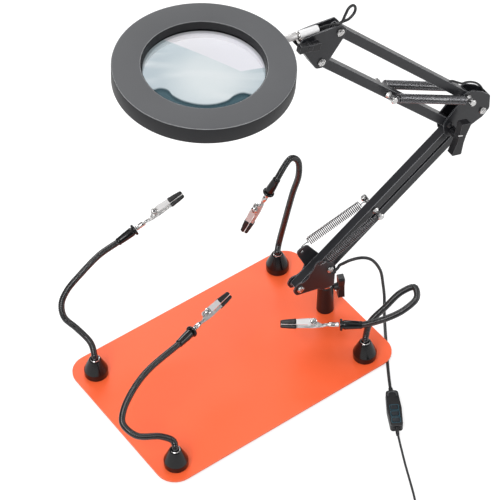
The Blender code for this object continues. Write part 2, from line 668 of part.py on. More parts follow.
def magnet_foot(tag, foot, key):
    top = SEAT_Z + CONE_H
    socket_r, socket_floor = NECK_R + 0.4, SEAT_Z + 13.6
    profile = [(0, SEAT_Z), (CONE_R - 0.5, SEAT_Z), (CONE_R, SEAT_Z + 0.8),
               (CONE_R, SEAT_Z + CONE_WALL), (6.3, top - 0.4), (5.6, top), (4.4, top),
               (socket_r, top - 1.0), (socket_r, socket_floor), (0, socket_floor)]
    finish(revolve(profile), "magnet_foot_" + tag, "black_plastic", key, place(*foot))


def gooseneck(tag, foot, bends, flange, along, key):
    """Neck from inside the foot to the boot, which swells to a flange at the clip."""
    boot = flange - along * BOOT_L
    rise = [Vector((*foot, SEAT_Z + h)) for h in (14.0, 19.5, 25.5)]
    path = smooth_path(rise[1:] + bends + [boot], 2)[2:]     # straight up to the last rise
    stations = [(p, NECK_R) for p in rise[:1] + path]
    stations += [(boot + along * 0.4, NECK_R + 0.6), (boot + along * 9, NECK_R + 1.2)]
    # distance back from the flange's face, radius
    stations += [(flange - along * back, r) for back, r in (
        (3.6, NECK_R + 1.5), (2.7, NECK_R + 1.3), (2.6, 6.3), (0.2, 6.3), (0.0, 5.9))]
    finish(tube(stations, 8), "gooseneck_" + tag, "rubber_black", key)


def magnet_arm(tag, foot, bends, flange, target, side):
    key, jaw_key = "magnet_" + tag, "jaw_" + tag
    flange = Vector(flange)
    along = (Vector(target) - flange).normalized()
    clip = aim(flange, along, LEAN.cross(along) * side)
    pivot(key, (*foot, SEAT_Z))
    pivot(jaw_key, clip @ Vector((RIVET[0], 0, RIVET[1])))
    magnet_foot(tag, foot, key)
    gooseneck(tag, foot, bends, flange, along, key)
    finish(clip_body(), "clip_body_" + tag, "bright_steel", key, clip)
    finish(clip_jaw(), "clip_jaw_" + tag, "bright_steel", jaw_key, clip)


# ------------------------------------------------------------------ cables and lamp controller
# middles of the controller's ends
LAMP_END, TAIL_END = Vector((109.4, -135.9, 2.0)), Vector((84.5, -176.3, 2.0))
CTRL_ALONG = (TAIL_END - LAMP_END).normalized()
CTRL_HALF_L, CTRL_HALF_W, CTRL_T = (TAIL_END - LAMP_END).length / 2, 7.5, 9.0
CTRL_Z = -FOOT_H + 0.2             # its underside
CTRL_MIDDLE = (LAMP_END + TAIL_END) * 0.5
CTRL = aim((CTRL_MIDDLE.x, CTRL_MIDDLE.y, CTRL_Z), CTRL_ALONG)
BUTTONS = (-0.9, 7.5, 15.9)        # x along the controller
BUTTON_X, BUTTON_Y = 3.0, 4.1      # half sizes

# radius, then the points each cable runs through
LAMP_CABLE = (1.7, [
    (139, -10.5, 71), (146, -14.5, 77), (157, -20.5, 80), (168, -23.5, 73), (178, -27, 54),
    (183, -28, 26), (184, -30, 6), (177, -39, -2.6), (151.5, -74, -2.6),
    (128.4, -106.6, -2.6), (114.6, -127.2, -1.2), LAMP_END + Vector((0.9, 1.6, -2.4))])
TAIL_CABLE = (1.2, [
    TAIL_END + CTRL_ALONG * 0.4 + Vector((0, 0, -2.2)),
    TAIL_END + CTRL_ALONG * 9 + Vector((0.5, 0, -4.0)),
    (65.2, -213.0, -3.1), (44.0, -255.5, -3.1), (30.0, -279.0, -3.1)])


def cable(name, radius, points):
    stations = [(p, radius) for p in smooth_path(points, 3)]
    finish(tube(stations, 6), name, "rubber_black", "base")


def shell(name, z0, z1, hollow_z0, hollow_z1, openings=()):
    """Half of the controller's case, slightly wider at mid length, hollowed between
    the two hollow heights."""
    end, belly = CTRL_HALF_W * 0.86, CTRL_HALF_W * 1.04
    outline = rounded([
        (-CTRL_HALF_L, -end, 3.0), (0, -belly, 30.0), (CTRL_HALF_L, -end, 3.0),
        (CTRL_HALF_L, end, 3.0), (0, belly, 30.0), (-CTRL_HALF_L, end, 3.0)])
    x, y = CTRL_HALF_L - 2, CTRL_HALF_W - 2
    body = cut(prism(outline, z0, z1), box(-x, x, -y, y, hollow_z0, hollow_z1), *openings)
    finish(body, name, "black_plastic", "base", CTRL)


def controller():
    split, floor = CTRL_T * 0.5, 1.4
    x, y = BUTTON_X + GAP, BUTTON_Y + GAP
    openings = [box(at - x, at + x, -y, y, CTRL_T - 3, CTRL_T + 3) for at in BUTTONS]
    shell("controller_lower_shell", 0.0, split - GAP / 2, floor, 20)
    shell("controller_upper_shell", split + GAP / 2, CTRL_T, 0, CTRL_T - floor, openings)


def button(name, at):
    pivot(name, CTRL @ Vector((at, 0, CTRL_T)))
    body = box(at - BUTTON_X, at + BUTTON_X, -BUTTON_Y, BUTTON_Y, CTRL_T - 3.2, CTRL_T + 0.7)
    rim = [e for e in body.edges if all(v.co.z > CTRL_T for v in e.verts)]
    bmesh.ops.bevel(body, geom=rim, offset=0.4, segments=1, affect="EDGES")
    finish(body, name, "blue_button", name, CTRL)


# ------------------------------------------------------------------ build
thumb = math.radians(THUMB_HEADING)
pivot("base", (0, 0, 0))
pivot("thumb", (POST_X + THUMB_REACH * math.cos(thumb),
                POST_Y + THUMB_REACH * math.sin(thumb), THUMB_Z))
pivot("yoke", (POST_X, POST_Y, POST_TOP), ARM_HEADING)
for joint, at in (("lower_front", LOWER_FRONT_FOOT), ("lower_rear", LOWER_REAR_FOOT),
                  ("elbow", LOWER_FRONT_TOP), ("elbow_knob", LOWER_FRONT_TOP),
                  ("upper_inner", INNER_FOOT), ("upper_outer", OUTER_FOOT),
                  ("head_bracket", INNER_TOP), ("head_knob", TILT), ("tilt", TILT),
                  ("head", STEM_START)):
    pivot(joint, arm(*at), ARM_HEADING)

base_plate()
for corner in (("fl", -1, -1), ("fr", 1, -1), ("br", 1, 1), ("bl", -1, 1)):
    plate_foot(*corner)
post_socket()
post_screw()
post_thumb_screw()

yoke()
yoke_spigot()
pivot_screw("yoke_screw_front", LOWER_FRONT_FOOT, "yoke")
pivot_screw("yoke_screw_rear", LOWER_REAR_FOOT, "yoke")

bar("lower_bar_front", LOWER_FRONT_FOOT, LOWER_FRONT_TOP, "lower_front", [LOWER_PIN])
bar("lower_bar_rear", LOWER_REAR_FOOT, LOWER_REAR_TOP, "lower_rear")
bar("upper_bar_inner", INNER_FOOT, INNER_TOP, "upper_inner", [UPPER_PIN])
bar("upper_bar_outer", OUTER_FOOT, OUTER_TOP, "upper_outer")

spring_pin("lower_spring_pin", LOWER_PIN, "lower_front", 5.4)
spring_pin("upper_spring_pin", UPPER_PIN, "upper_inner", 5.4)
spring_pin("elbow_spring_bolt", OUTER_FOOT, "elbow", CHEEK_SEAT)
spring("lower_spring_near", (*NEAR_HOOK, 2 - SPRING_Y), (*LOWER_PIN, -SPRING_Y),
       "yoke", lead=1.0, coil=10.0)
spring("lower_spring_far", (*FAR_HOOK, SPRING_Y), (*LOWER_PIN, SPRING_Y),
       "yoke", lead=1.0, coil=12.0)
for side_name, y in (("near", -SPRING_Y), ("far", SPRING_Y)):
    spring("upper_spring_" + side_name, (*OUTER_FOOT, y), (*UPPER_PIN, y),
           "elbow", lead=2.8, coil=8.8)

elbow_bracket()
pivot_screw("elbow_screw_rear", LOWER_REAR_TOP, "elbow")
pivot_screw("elbow_screw_inner", INNER_FOOT, "elbow", head=3.6)
wing_knob("elbow_wing_knob", LOWER_FRONT_TOP, "elbow_knob",
          head=[(-19.0, 2.5), (-17.5, 4.6), (-CHEEK_SEAT - 0.6, 4.6), (-CHEEK_SEAT, 3.8)],
          tail=4.0, lobes=wings(20.5, 4.4, 6.4, -24.0, -15.5, 1.2), heading=-75)

head_bracket()
pivot_screw("head_screw_upper", OUTER_TOP, "head_bracket")
pivot_screw("head_screw_lower", INNER_TOP, "head_bracket")
wing_knob("head_wing_knob", TILT, "head_knob",
          head=[(-15.4, 2.6), (-14.5, 4.2), (-CHEEK_SEAT - 0.5, 4.2), (-CHEEK_SEAT, 3.4)],
          tail=3.4, lobes=wings(11.8, 3.6, 4.6, -14.9, -9.0, 1.2), heading=13)
stem_and_tilt_block()
ring_head()

for arm_tag, layout in ARMS.items():
    magnet_arm(arm_tag, *layout)

cable("lamp_cable", *LAMP_CABLE)
controller()
for number, at in enumerate(BUTTONS, 1):
    button("button_%d" % number, at)
cable("tail_cable", *TAIL_CABLE)
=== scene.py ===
"""Desk lamp with a ring-light magnifier on a sprung two-part arm and four clip arms.

The orange base plate lies flat, Z up. Its middle (underside) is PLATE_MID. The arm's post stands
towards +X, the ring head reaches back towards -X, and the controller lies off the plate on -Y.
"Near" is the -Y side and "far" is +Y. Lengths are in millimetres and piece() scales them to
metres; materials, lights and floor are in metres.
"""
import math
import bmesh
import bpy
from mathutils import Matrix, Vector

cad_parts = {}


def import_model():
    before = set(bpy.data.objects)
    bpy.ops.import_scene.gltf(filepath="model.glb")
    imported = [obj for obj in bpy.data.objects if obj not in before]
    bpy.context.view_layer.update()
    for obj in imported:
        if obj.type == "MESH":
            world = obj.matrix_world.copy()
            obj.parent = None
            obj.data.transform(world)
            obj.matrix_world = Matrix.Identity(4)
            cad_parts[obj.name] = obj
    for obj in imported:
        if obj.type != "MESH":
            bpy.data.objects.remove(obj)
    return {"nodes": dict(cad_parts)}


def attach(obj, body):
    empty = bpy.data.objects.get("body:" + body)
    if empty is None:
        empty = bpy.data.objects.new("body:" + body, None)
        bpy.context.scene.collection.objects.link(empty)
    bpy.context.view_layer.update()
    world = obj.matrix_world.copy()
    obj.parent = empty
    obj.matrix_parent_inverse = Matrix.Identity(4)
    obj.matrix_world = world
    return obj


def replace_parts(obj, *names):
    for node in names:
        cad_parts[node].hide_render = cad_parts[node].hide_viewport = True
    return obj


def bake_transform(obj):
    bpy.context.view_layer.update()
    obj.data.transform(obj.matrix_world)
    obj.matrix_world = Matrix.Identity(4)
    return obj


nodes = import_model()["nodes"]
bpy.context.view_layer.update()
PI = math.pi
MM = 0.001
scene = bpy.context.scene

PLATE_MID = Vector((130.0, 80.0, 4.5))
SEAT_Z = 2.3             # height above PLATE_MID where the post and the magnet cones stand
POST_X = 125.0           # post axis from the plate's middle
ARM_TURN = -5.0          # swing of the arm about the post, degrees
PLATE = Matrix.Translation(PLATE_MID)
POST = Matrix.Translation(PLATE_MID + Vector((POST_X, 0.0, 0.0)))
ARM = POST @ Matrix.Rotation(math.radians(ARM_TURN), 4, "Z")


# ------------------------------------------------------------------ frames and mesh helpers
def arm(a, z, y=0.0):
    """Point in the arm's plane: a outward from the post, z up, y across."""
    return ARM @ Vector((a, y, z))


def aim(origin, direction, up=(0, 0, 1)):
    """Frame at origin with X along direction and Z near up."""
    x = Vector(direction).normalized()
    y = Vector(up).cross(x).normalized()
    z = x.cross(y)
    pose = Matrix((x, y, z)).transposed().to_4x4()
    pose.translation = Vector(origin)
    return pose


def piece(name, bm, mat, body, matrix=None, smooth=35.0):
    """Turn bm into an object; a body of None leaves it on no body."""
    if matrix is not None:
        bm.transform(matrix)
    bmesh.ops.recalc_face_normals(bm, faces=bm.faces)
    bm.transform(Matrix.Scale(MM, 4))
    mesh = bpy.data.meshes.new(name)
    bm.to_mesh(mesh)
    bm.free()
    mesh.materials.append(mat)
    mesh.shade_smooth()
    mesh.set_sharp_from_angle(angle=math.radians(smooth))
    obj = bpy.data.objects.new(name, mesh)
    scene.collection.objects.link(obj)
    if body:
        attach(obj, body)
    return obj


def revolve(profile, n, closed=False):
    """Spin (radius, height) points round Z; a zero radius makes a pole."""
    bm = bmesh.new()
    rings = []
    for r, z in profile:
        if r < 1e-9:
            rings.append([bm.verts.new((0, 0, z))])
        else:
            turns = [2 * PI * i / n for i in range(n)]
            rings.append([bm.verts.new((r * math.cos(t), r * math.sin(t), z)) for t in turns])
    pairs = list(zip(rings, rings[1:]))
    if closed:
        pairs.append((rings[-1], rings[0]))
    for a, b in pairs:
        for i in range(n):
            j = (i + 1) % n
            if len(a) == 1:
                bm.faces.new((a[0], b[i], b[j]))
            elif len(b) == 1:
                bm.faces.new((a[i], b[0], a[j]))
            else:
                bm.faces.new((a[i], b[i], b[j], a[j]))
    return bm


def fillet(points, radius, seg=4):
    """Round every corner of an open (radius, height) profile except its two ends."""
    out = [points[0]]
    for before, corner, after in zip(points, points[1:], points[2:]):
        p = Vector(corner)
        u, v = Vector(before) - p, Vector(after) - p
        cut = min(radius, u.length * 0.45, v.length * 0.45)
        start, end = p + u.normalized() * cut, p + v.normalized() * cut
        for k in range(seg + 1):
            t = k / seg
            w = start * (1 - t) ** 2 + p * 2 * t * (1 - t) + end * t * t
            out.append((w.x, w.y))
    out.append(points[-1])
    return out


def catmull(points, per):
    """Centripetal Catmull-Rom curve through points, with per samples to each span."""
    P = [Vector(p) for p in points]
    P = [P[0] * 2 - P[1]] + P + [P[-1] * 2 - P[-2]]
    out = []
    for i in range(1, len(P) - 2):
        p0, p1, p2, p3 = P[i - 1:i + 3]
        t0 = 0.0
        t1 = t0 + (p1 - p0).length ** 0.5
        t2 = t1 + (p2 - p1).length ** 0.5
        t3 = t2 + (p3 - p2).length ** 0.5
        for k in range(per):
            t = t1 + (t2 - t1) * k / per
            a1 = p0 * ((t1 - t) / (t1 - t0)) + p1 * ((t - t0) / (t1 - t0))
            a2 = p1 * ((t2 - t) / (t2 - t1)) + p2 * ((t - t1) / (t2 - t1))
            a3 = p2 * ((t3 - t) / (t3 - t2)) + p3 * ((t - t2) / (t3 - t2))
            b1 = a1 * ((t2 - t) / (t2 - t0)) + a2 * ((t - t0) / (t2 - t0))
            b2 = a2 * ((t3 - t) / (t3 - t1)) + a3 * ((t - t1) / (t3 - t1))
            out.append(b1 * ((t2 - t) / (t2 - t1)) + b2 * ((t - t1) / (t2 - t1)))
    out.append(P[-2])
    return out


def resample(path, step):
    """Points every step mm along the path, each with the distance run so far."""
    out = [(path[0].copy(), 0.0)]
    run, left = 0.0, step
    for a, b in zip(path, path[1:]):
        span = (b - a).length
        pos = 0.0
        while span - pos >= left:
            pos += left
            run += left
            out.append((a.lerp(b, pos / span), run))
            left = step
        left -= span - pos
    out.append((path[-1].copy(), run))
    return out


def loft(sections):
    """Closed skin through equal-length loops of points."""
    bm = bmesh.new()
    rings = [[bm.verts.new(p) for p in s] for s in sections]
    n = len(rings[0])
    for a, b in zip(rings, rings[1:]):
        for i in range(n):
            j = (i + 1) % n
            bm.faces.new((a[i], a[j], b[j], b[i]))
    bm.faces.new(list(reversed(rings[0])))
    bm.faces.new(rings[-1])
    return bm


def sweep(stations, n):
    """Round bar through (point, radius) stations, its rings carried along without twist."""
    pts = [p for p, _ in stations]
    dirs = []
    for i in range(len(pts)):
        d = pts[min(i + 1, len(pts) - 1)] - pts[max(i - 1, 0)]
        dirs.append(d.normalized() if d.length > 1e-6 else dirs[-1])
    ref = Vector((0, 0, 1)) if abs(dirs[0].z) < 0.9 else Vector((1, 0, 0))
    side = dirs[0].cross(ref).normalized()
    turns = [2 * PI * i / n for i in range(n)]
    rings = []
    for (p, r), d in zip(stations, dirs):
        side = (side - d * side.dot(d)).normalized()
        up = d.cross(side)
        rings.append([p + (side * math.cos(t) + up * math.sin(t)) * r for t in turns])
    return loft(rings)


def joined(parts):
    out = parts[0]
    for part in parts[1:]:
        mesh = bpy.data.meshes.new("tmp")
        part.to_mesh(mesh)
        part.free()
        out.from_mesh(mesh)
        bpy.data.meshes.remove(mesh)
    return out


def rrect(cx, cy, hx, hy, r, seg=4):
    """Rounded rectangle: centre, half sizes, corner radius."""
    out = []
    for sx, sy, a0 in ((1, 1, 0), (-1, 1, PI / 2), (-1, -1, PI), (1, -1, 3 * PI / 2)):
        for k in range(seg + 1):
            t = a0 + PI / 2 * k / seg
            out.append((cx + sx * (hx - r) + r * math.cos(t), cy + sy * (hy - r) + r * math.sin(t)))
    return out


# ------------------------------------------------------------------ shader helpers
class Graph:
    """Short calls for a node tree. An input is a value, a socket, or a node (its first output)."""

    def __init__(self, owner, clear=False):
        owner.use_nodes = True
        self.tree = owner.node_tree
        if clear:
            self.tree.nodes.clear()

    def feed(self, node, inputs):
        for key, value in inputs.items():
            if isinstance(value, bpy.types.Node):
                value = value.outputs[0]
            if isinstance(value, bpy.types.NodeSocket):
                self.tree.links.new(value, node.inputs[key])
            else:
                node.inputs[key].default_value = value

    def add(self, kind, inputs=None, **props):
        node = self.tree.nodes.new("ShaderNode" + kind)
        for key, value in props.items():
            setattr(node, key, value)
        self.feed(node, inputs or {})
        return node

    def mix(self, factor, a, b):
        """Colour mix; a and b are RGB tuples or sockets."""
        a, b = ((*c, 1.0) if isinstance(c, tuple) else c for c in (a, b))
        return self.add("Mix", {0: factor, 6: a, 7: b}, data_type="RGBA").outputs[2]

    def calc(self, operation, *terms):
        return self.add("Math", dict(enumerate(terms)), operation=operation).outputs[0]

    def remap(self, value, source=(0.0, 1.0), target=(0.0, 1.0), kind="LINEAR"):
        return self.add("MapRange", {
            "Value": value, "From Min": source[0], "From Max": source[1],
            "To Min": target[0], "To Max": target[1]}, interpolation_type=kind).outputs["Result"]

    def step(self, value, start, end):
        return self.remap(value, (start, end), kind="SMOOTHSTEP")

    def noise(self, where, scale, detail, roughness=0.5):
        return self.add("TexNoise", {"Vector": where, "Scale": scale, "Detail": detail,
                                     "Roughness": roughness}).outputs["Fac"]


# ------------------------------------------------------------------ materials
def material(name, colour, rough, metal=0.0, var=0.12, grain=900.0, bump=0.25, depth=0.00004,
             rvar=0.12, spec=0.5, patch=45.0, edge_highlight=None):
    """Surface with broad colour drift, roughness drift and a fine grain.

    var, patch: share and noise scale of the colour drift. rvar: whole spread of the roughness.
    grain, bump, depth: noise scale, strength and height (m) of the fine grain.
    edge_highlight: (colour, edge radius in m, strength) of a painted highlight along the edges.
    """
    mat = bpy.data.materials.new(name)
    g = Graph(mat)
    shader = g.tree.nodes["Principled BSDF"]
    place = g.add("TexCoord").outputs["Object"]
    base = g.mix(g.noise(place, patch, detail=3.0),
                 tuple(c * (1 - var) for c in colour), tuple(c * (1 + var) for c in colour))
    fine = g.noise(g.add("Mapping", {"Vector": place}), grain, detail=4.0, roughness=0.6)
    if edge_highlight:
        highlight_colour, radius, strength = edge_highlight
        rounded = g.add("Bevel", {"Radius": radius}, samples=4)
        true_normal = g.add("NewGeometry").outputs["Normal"]
        agree = g.add("VectorMath", {0: rounded, 1: true_normal},
                      operation="DOT_PRODUCT").outputs["Value"]
        # painted highlight: an edge is lightened where the rounded normal leaves the true one
        base = g.mix(g.remap(agree, source=(0.985, 0.86), target=(0.0, strength)), base, highlight_colour)
    g.feed(shader, {
        "Metallic": metal, "Specular IOR Level": spec, "Coat Roughness": 0.12, "Base Color": base,
        "Roughness": g.remap(fine, target=(rough - rvar / 2, rough + rvar / 2)),
        "Normal": g.add("Bump", {"Strength": bump, "Distance": depth, "Height": fine})})
    return mat


# the lighter edge colours passed to several materials below are painted highlights along the edges
ORANGE = material("powder_coat_orange", (0.93, 0.125, 0.036), rough=0.40, var=0.06, grain=1500,
                  bump=0.08, depth=0.00003, rvar=0.08, patch=9, spec=0.30,
                  edge_highlight=((0.98, 0.42, 0.27), 0.0007, 0.6))
PAINT = material("satin_black_paint", (0.0140, 0.0145, 0.0175), rough=0.30, var=0.22, grain=1400,
                 bump=0.06, depth=0.00003, spec=0.45, edge_highlight=((0.20, 0.205, 0.22), 0.0008, 1.0))
BARS = material("bar_black_paint", (0.0150, 0.0155, 0.0185), rough=0.32, var=0.25, grain=1400,
                bump=0.06, depth=0.00003, spec=0.45, patch=30,
                edge_highlight=((0.34, 0.345, 0.36), 0.0011, 1.0))
MOULD = material("moulded_black", (0.0085, 0.0085, 0.0100), rough=0.38, var=0.25, grain=1100,
                 bump=0.14, spec=0.40, edge_highlight=((0.11, 0.11, 0.12), 0.0008, 0.9))
GLOSS = material("gloss_black", (0.0035, 0.0035, 0.0042), rough=0.16, var=0.3, grain=700,
                 bump=0.03, depth=0.00003, rvar=0.05, spec=0.45)
RUBBER = material("soft_rubber", (0.0095, 0.0095, 0.0105), rough=0.42, var=0.25, grain=1300,
                  bump=0.15, spec=0.4)
HOSE = material("ribbed_hose", (0.0050, 0.0050, 0.0060), rough=0.18, var=0.3, bump=0.05,
                depth=0.00003, spec=0.75)
CORD = material("cord_jacket", (0.021, 0.0215, 0.023), rough=0.40, var=0.2, grain=1600,
                bump=0.12, depth=0.00003, spec=0.4)
GREY = material("textured_grey", (0.088, 0.090, 0.095), rough=0.58, var=0.16, grain=1500,
                bump=0.6, depth=0.00010, rvar=0.1, spec=0.30, patch=12,
                edge_highlight=((0.50, 0.51, 0.52), 0.0012, 0.9))
DARKGREY = material("ring_side", (0.0065, 0.0068, 0.0086), rough=0.42, grain=1300, bump=0.2,
                    depth=0.00005, patch=20, spec=0.4)
WELL = material("ring_well", (0.0060, 0.0062, 0.0075), rough=0.30, var=0.15, grain=1300,
                bump=0.1, patch=20, spec=0.4)
CHROME = material("nickel_plate", (0.66, 0.645, 0.63), rough=0.13, metal=1.0, var=0.06,
                  grain=420, bump=0.55, depth=0.00016, rvar=0.06, patch=60)
# the clip's strong colour drift (var 0.35 at patch 260) is painted streaky reflection on the
# plating
CLIP = material("clip_plate_painted_reflection", (0.46, 0.455, 0.45), rough=0.18, metal=0.62, var=0.35, grain=300,
                bump=0.6, depth=0.00040, rvar=0.06, patch=260)
SATIN = material("satin_nickel", (0.60, 0.59, 0.585), rough=0.32, metal=0.28, var=0.05,
                 grain=200, bump=0.0, depth=0.00001, rvar=0.08, patch=40)
WHITE = material("white_sleeve", (0.80, 0.80, 0.805), rough=0.38, var=0.03, grain=600,
                 bump=0.05, depth=0.00002, rvar=0.08, patch=60)
STEEL = material("zinc_screw", (0.68, 0.675, 0.67), rough=0.22, metal=1.0, var=0.10, grain=500,
                 bump=0.05, depth=0.00003, patch=120)
WIRE = material("spring_wire_bright", (0.045, 0.045, 0.048), rough=0.22, metal=0.9, var=0.3,
                bump=0.05, depth=0.00002, rvar=0.1, patch=150)
WIRE_DARK = material("spring_wire_black", (0.20, 0.20, 0.21), rough=0.22, metal=0.9, var=0.3,
                     bump=0.05, depth=0.00002, rvar=0.1, patch=150)
DIFFUSER = material("frosted_diffuser_painted_glow", (0.82, 0.83, 0.82), rough=0.5, var=0.04, grain=1200,
                    bump=0.12, depth=0.00005, spec=0.4)
# the diffuser's emission is a painted glow that lifts its shade; the ring's lights are off
glow = DIFFUSER.node_tree.nodes["Principled BSDF"].inputs
glow["Emission Color"].default_value = (1.0, 0.99, 0.97, 1)
glow["Emission Strength"].default_value = 0.38
RIM = material("moulded_rim", (0.060, 0.062, 0.066), rough=0.35, var=0.2, grain=1100, bump=0.14)
BOARD = material("white_solder_mask", (0.78, 0.80, 0.76), rough=0.4, var=0.08, grain=500,
                 bump=0.2, depth=0.00005, patch=160)
BUTTON = material("soft_button", (0.010, 0.014, 0.019), rough=0.45, var=0.2, grain=1200,
                  bump=0.15, spec=0.4)
TEAL = material("teal_outline", (0.022, 0.105, 0.150), rough=0.42, grain=1500, bump=0.05,
                depth=0.00002)

# near edge of the painted shade crescent on the lens: (across, away), in lens radii from the centre
SHORE = [(-1.0, -0.50), (-0.80, -0.46), (-0.70, -0.43), (-0.60, -0.455), (-0.486, -0.60),
         (-0.236, -0.745), (0.05, -0.785), (0.336, -0.70), (0.514, -0.54), (0.62, -0.495),
         (0.72, -0.51), (1.0, -0.62)]


def glass(name, centre, radius):
    """See-through lens with a painted pattern of refracted light, highlight and shade, under a
    clear glossy face.

    centre and radius are in metres. The pattern lies on two level axes counted in lens radii:
    across runs to the camera's right and away runs from it.
    """
    mat = bpy.data.materials.new(name)
    g = Graph(mat, clear=True)
    out = g.add("OutputMaterial")
    place = g.add("TexCoord").outputs["Object"]
    from_centre = g.add("VectorMath", {0: place, 1: centre}, operation="SUBTRACT")
    scale = 1.0 / radius

    def axis(x, y):
        return g.add("VectorMath", {0: from_centre, 1: (x * scale, y * scale, 0.0)},
                     operation="DOT_PRODUCT").outputs["Value"]

    def distance(u, v):
        return g.calc("SQRT", g.calc("ADD", g.calc("MULTIPLY", u, u), g.calc("MULTIPLY", v, v)))

    across, away = axis(0.818, -0.575), axis(0.575, 0.818)
    cloud = g.noise(place, scale=26, detail=1.0)

    # main field: painted refracted light, pale blue, with a painted highlight brightest round a
    # point just nearer than the middle
    spread = distance(g.calc("SUBTRACT", across, 0.10), g.calc("ADD", away, 0.22))
    ragged = g.calc("MULTIPLY", g.calc("SUBTRACT", cloud, 0.5), 0.35)
    field = g.mix(g.step(g.calc("ADD", spread, ragged), 0.15, 0.95),
                  (0.60, 0.645, 0.66), (0.44, 0.505, 0.54))
    # painted shade: darker towards the left end
    left = g.calc("MULTIPLY", g.step(across, -0.45, -0.85), 0.35)
    field = g.mix(left, field, (0.37, 0.43, 0.47))
    # painted highlight: pale streaks drawn out across
    stretched = g.add("CombineXYZ", {0: g.calc("MULTIPLY", across, 0.025),
                                     1: g.calc("MULTIPLY", away, 0.11)})
    streak = g.noise(stretched, scale=30, detail=1.5)
    field = g.mix(g.step(streak, 0.46, 0.80), field, (0.63, 0.665, 0.68))

    # painted light: greyer far band behind a slanting edge that bends at across = 0.596
    band = g.mix(g.step(across, -0.7, 0.7), (0.60, 0.60, 0.63), (0.665, 0.665, 0.71))
    slant = g.calc("ADD", away, g.calc("MULTIPLY", g.calc("ADD", across, 0.69), 0.59))
    bend = g.calc("MAXIMUM", g.calc("SUBTRACT", across, 0.596), 0.0)
    slant = g.calc("SUBTRACT", slant, g.calc("MULTIPLY", bend, 0.92))
    painted_lens_light = g.mix(g.step(slant, 0.728, 0.742), field, band)

    # painted shade: dark crescent at the near edge; the curve holds across / 2 + 0.5 and away + 1
    shore = g.add("FloatCurve")
    curve = shore.mapping.curves[0]
    places = [(x * 0.5 + 0.5, y + 1.0) for x, y in SHORE]
    curve.points[0].location = places[0]
    for x, y in places[1:-1]:
        curve.points.new(x, y)
    curve.points[-1].location = places[-1]
    shore.mapping.update()
    g.feed(shore, {"Value": g.calc("ADD", g.calc("MULTIPLY", across, 0.5), 0.5)})
    past = g.calc("SUBTRACT", g.calc("SUBTRACT", shore.outputs[0], 1.0), away)
    crescent = g.mix(g.step(past, 0.03, 0.14), (0.022, 0.050, 0.064), (0.055, 0.100, 0.120))
    painted_lens_light = g.mix(g.step(past, -0.012, 0.045), painted_lens_light, crescent)
    # painted shade: thin dark rim
    painted_lens_light = g.mix(g.step(distance(across, away), 0.988, 1.0), painted_lens_light, (0.10, 0.12, 0.13))

    gloss = g.add("BsdfGlossy", {"Roughness": g.remap(cloud, target=(0.12, 0.22))})
    face = g.add("MixShader", {0: g.add("Fresnel", {"IOR": 1.28}),
                               1: g.add("BsdfTransparent", {"Color": painted_lens_light}), 2: gloss})
    # back faces are clear, so the painted pattern counts once
    behind = g.add("NewGeometry").outputs["Backfacing"]
    both = g.add("MixShader", {0: behind, 1: face, 2: g.add("BsdfTransparent")})
    g.feed(out, {"Surface": both})
    return mat


# ------------------------------------------------------------------ CAD nodes that stay
# node: (material, edge rounding in mm, segments)
DRESS = {
    "base_plate": (ORANGE, 0.45, 3), "yoke": (PAINT, 0.35, 2), "elbow_bracket": (PAINT, 0.35, 2),
    "head_bracket": (PAINT, 0.35, 2),
    "lower_bar_front": (BARS, 0.8, 3), "lower_bar_rear": (BARS, 0.8, 3),
    "upper_bar_inner": (BARS, 0.8, 3), "upper_bar_outer": (BARS, 0.8, 3),
    "post_thumb_screw": (MOULD, 0.7, 3), "elbow_wing_knob": (MOULD, 0.8, 3),
    "head_wing_knob": (MOULD, 0.7, 3),
    "controller_lower_shell": (MOULD, 0.7, 3), "controller_upper_shell": (MOULD, 0.9, 3),
    "stem_rod": (CHROME, 0.3, 2), "tilt_block": (CHROME, 0.5, 2), "led_board": (BOARD, 0.15, 1),
    "elbow_screw_inner": (MOULD, 0.4, 2),
}


def dress_for(name):
    if name in DRESS:
        return DRESS[name]
    if name.startswith("foot_"):
        return RUBBER, 0.4, 2
    if name.startswith("clip_jaw"):
        return SATIN, 0.2, 2
    if name.startswith("clip_"):
        return CLIP, 0.2, 2
    if any(word in name for word in ("pin", "bolt", "screw", "spigot")):
        return STEEL, 0.3, 2
    return MOULD, 0.0, 0


def dress_cad():
    for name, obj in nodes.items():
        mat, width, segments = dress_for(name)
        mesh = obj.data
        mesh.materials.clear()
        mesh.materials.append(mat)
        mesh.shade_smooth()
        mesh.set_sharp_from_angle(angle=math.radians(32))
        if width:
            edge = obj.modifiers.new("edge", "BEVEL")
            edge.width = width * MM
            edge.segments = segments
            edge.limit_method = "ANGLE"
            edge.angle_limit = math.radians(38)
            edge.harden_normals = True


dress_cad()


# ------------------------------------------------------------------ post
def post():
    outer = fillet([(8.0, SEAT_Z), (9.6, SEAT_Z), (9.5, 3.8), (8.6, 38.6), (8.5, 40.6),
                    (7.0, 41.2), (5.4, 41.2)], 0.7)
    profile = [(0, SEAT_Z)] + outer + [(5.4, 38.0), (0, 38.0)]
    body = piece("post_body", revolve(profile, 72), MOULD, "base", POST)
    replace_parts(body, "post_socket")


post()

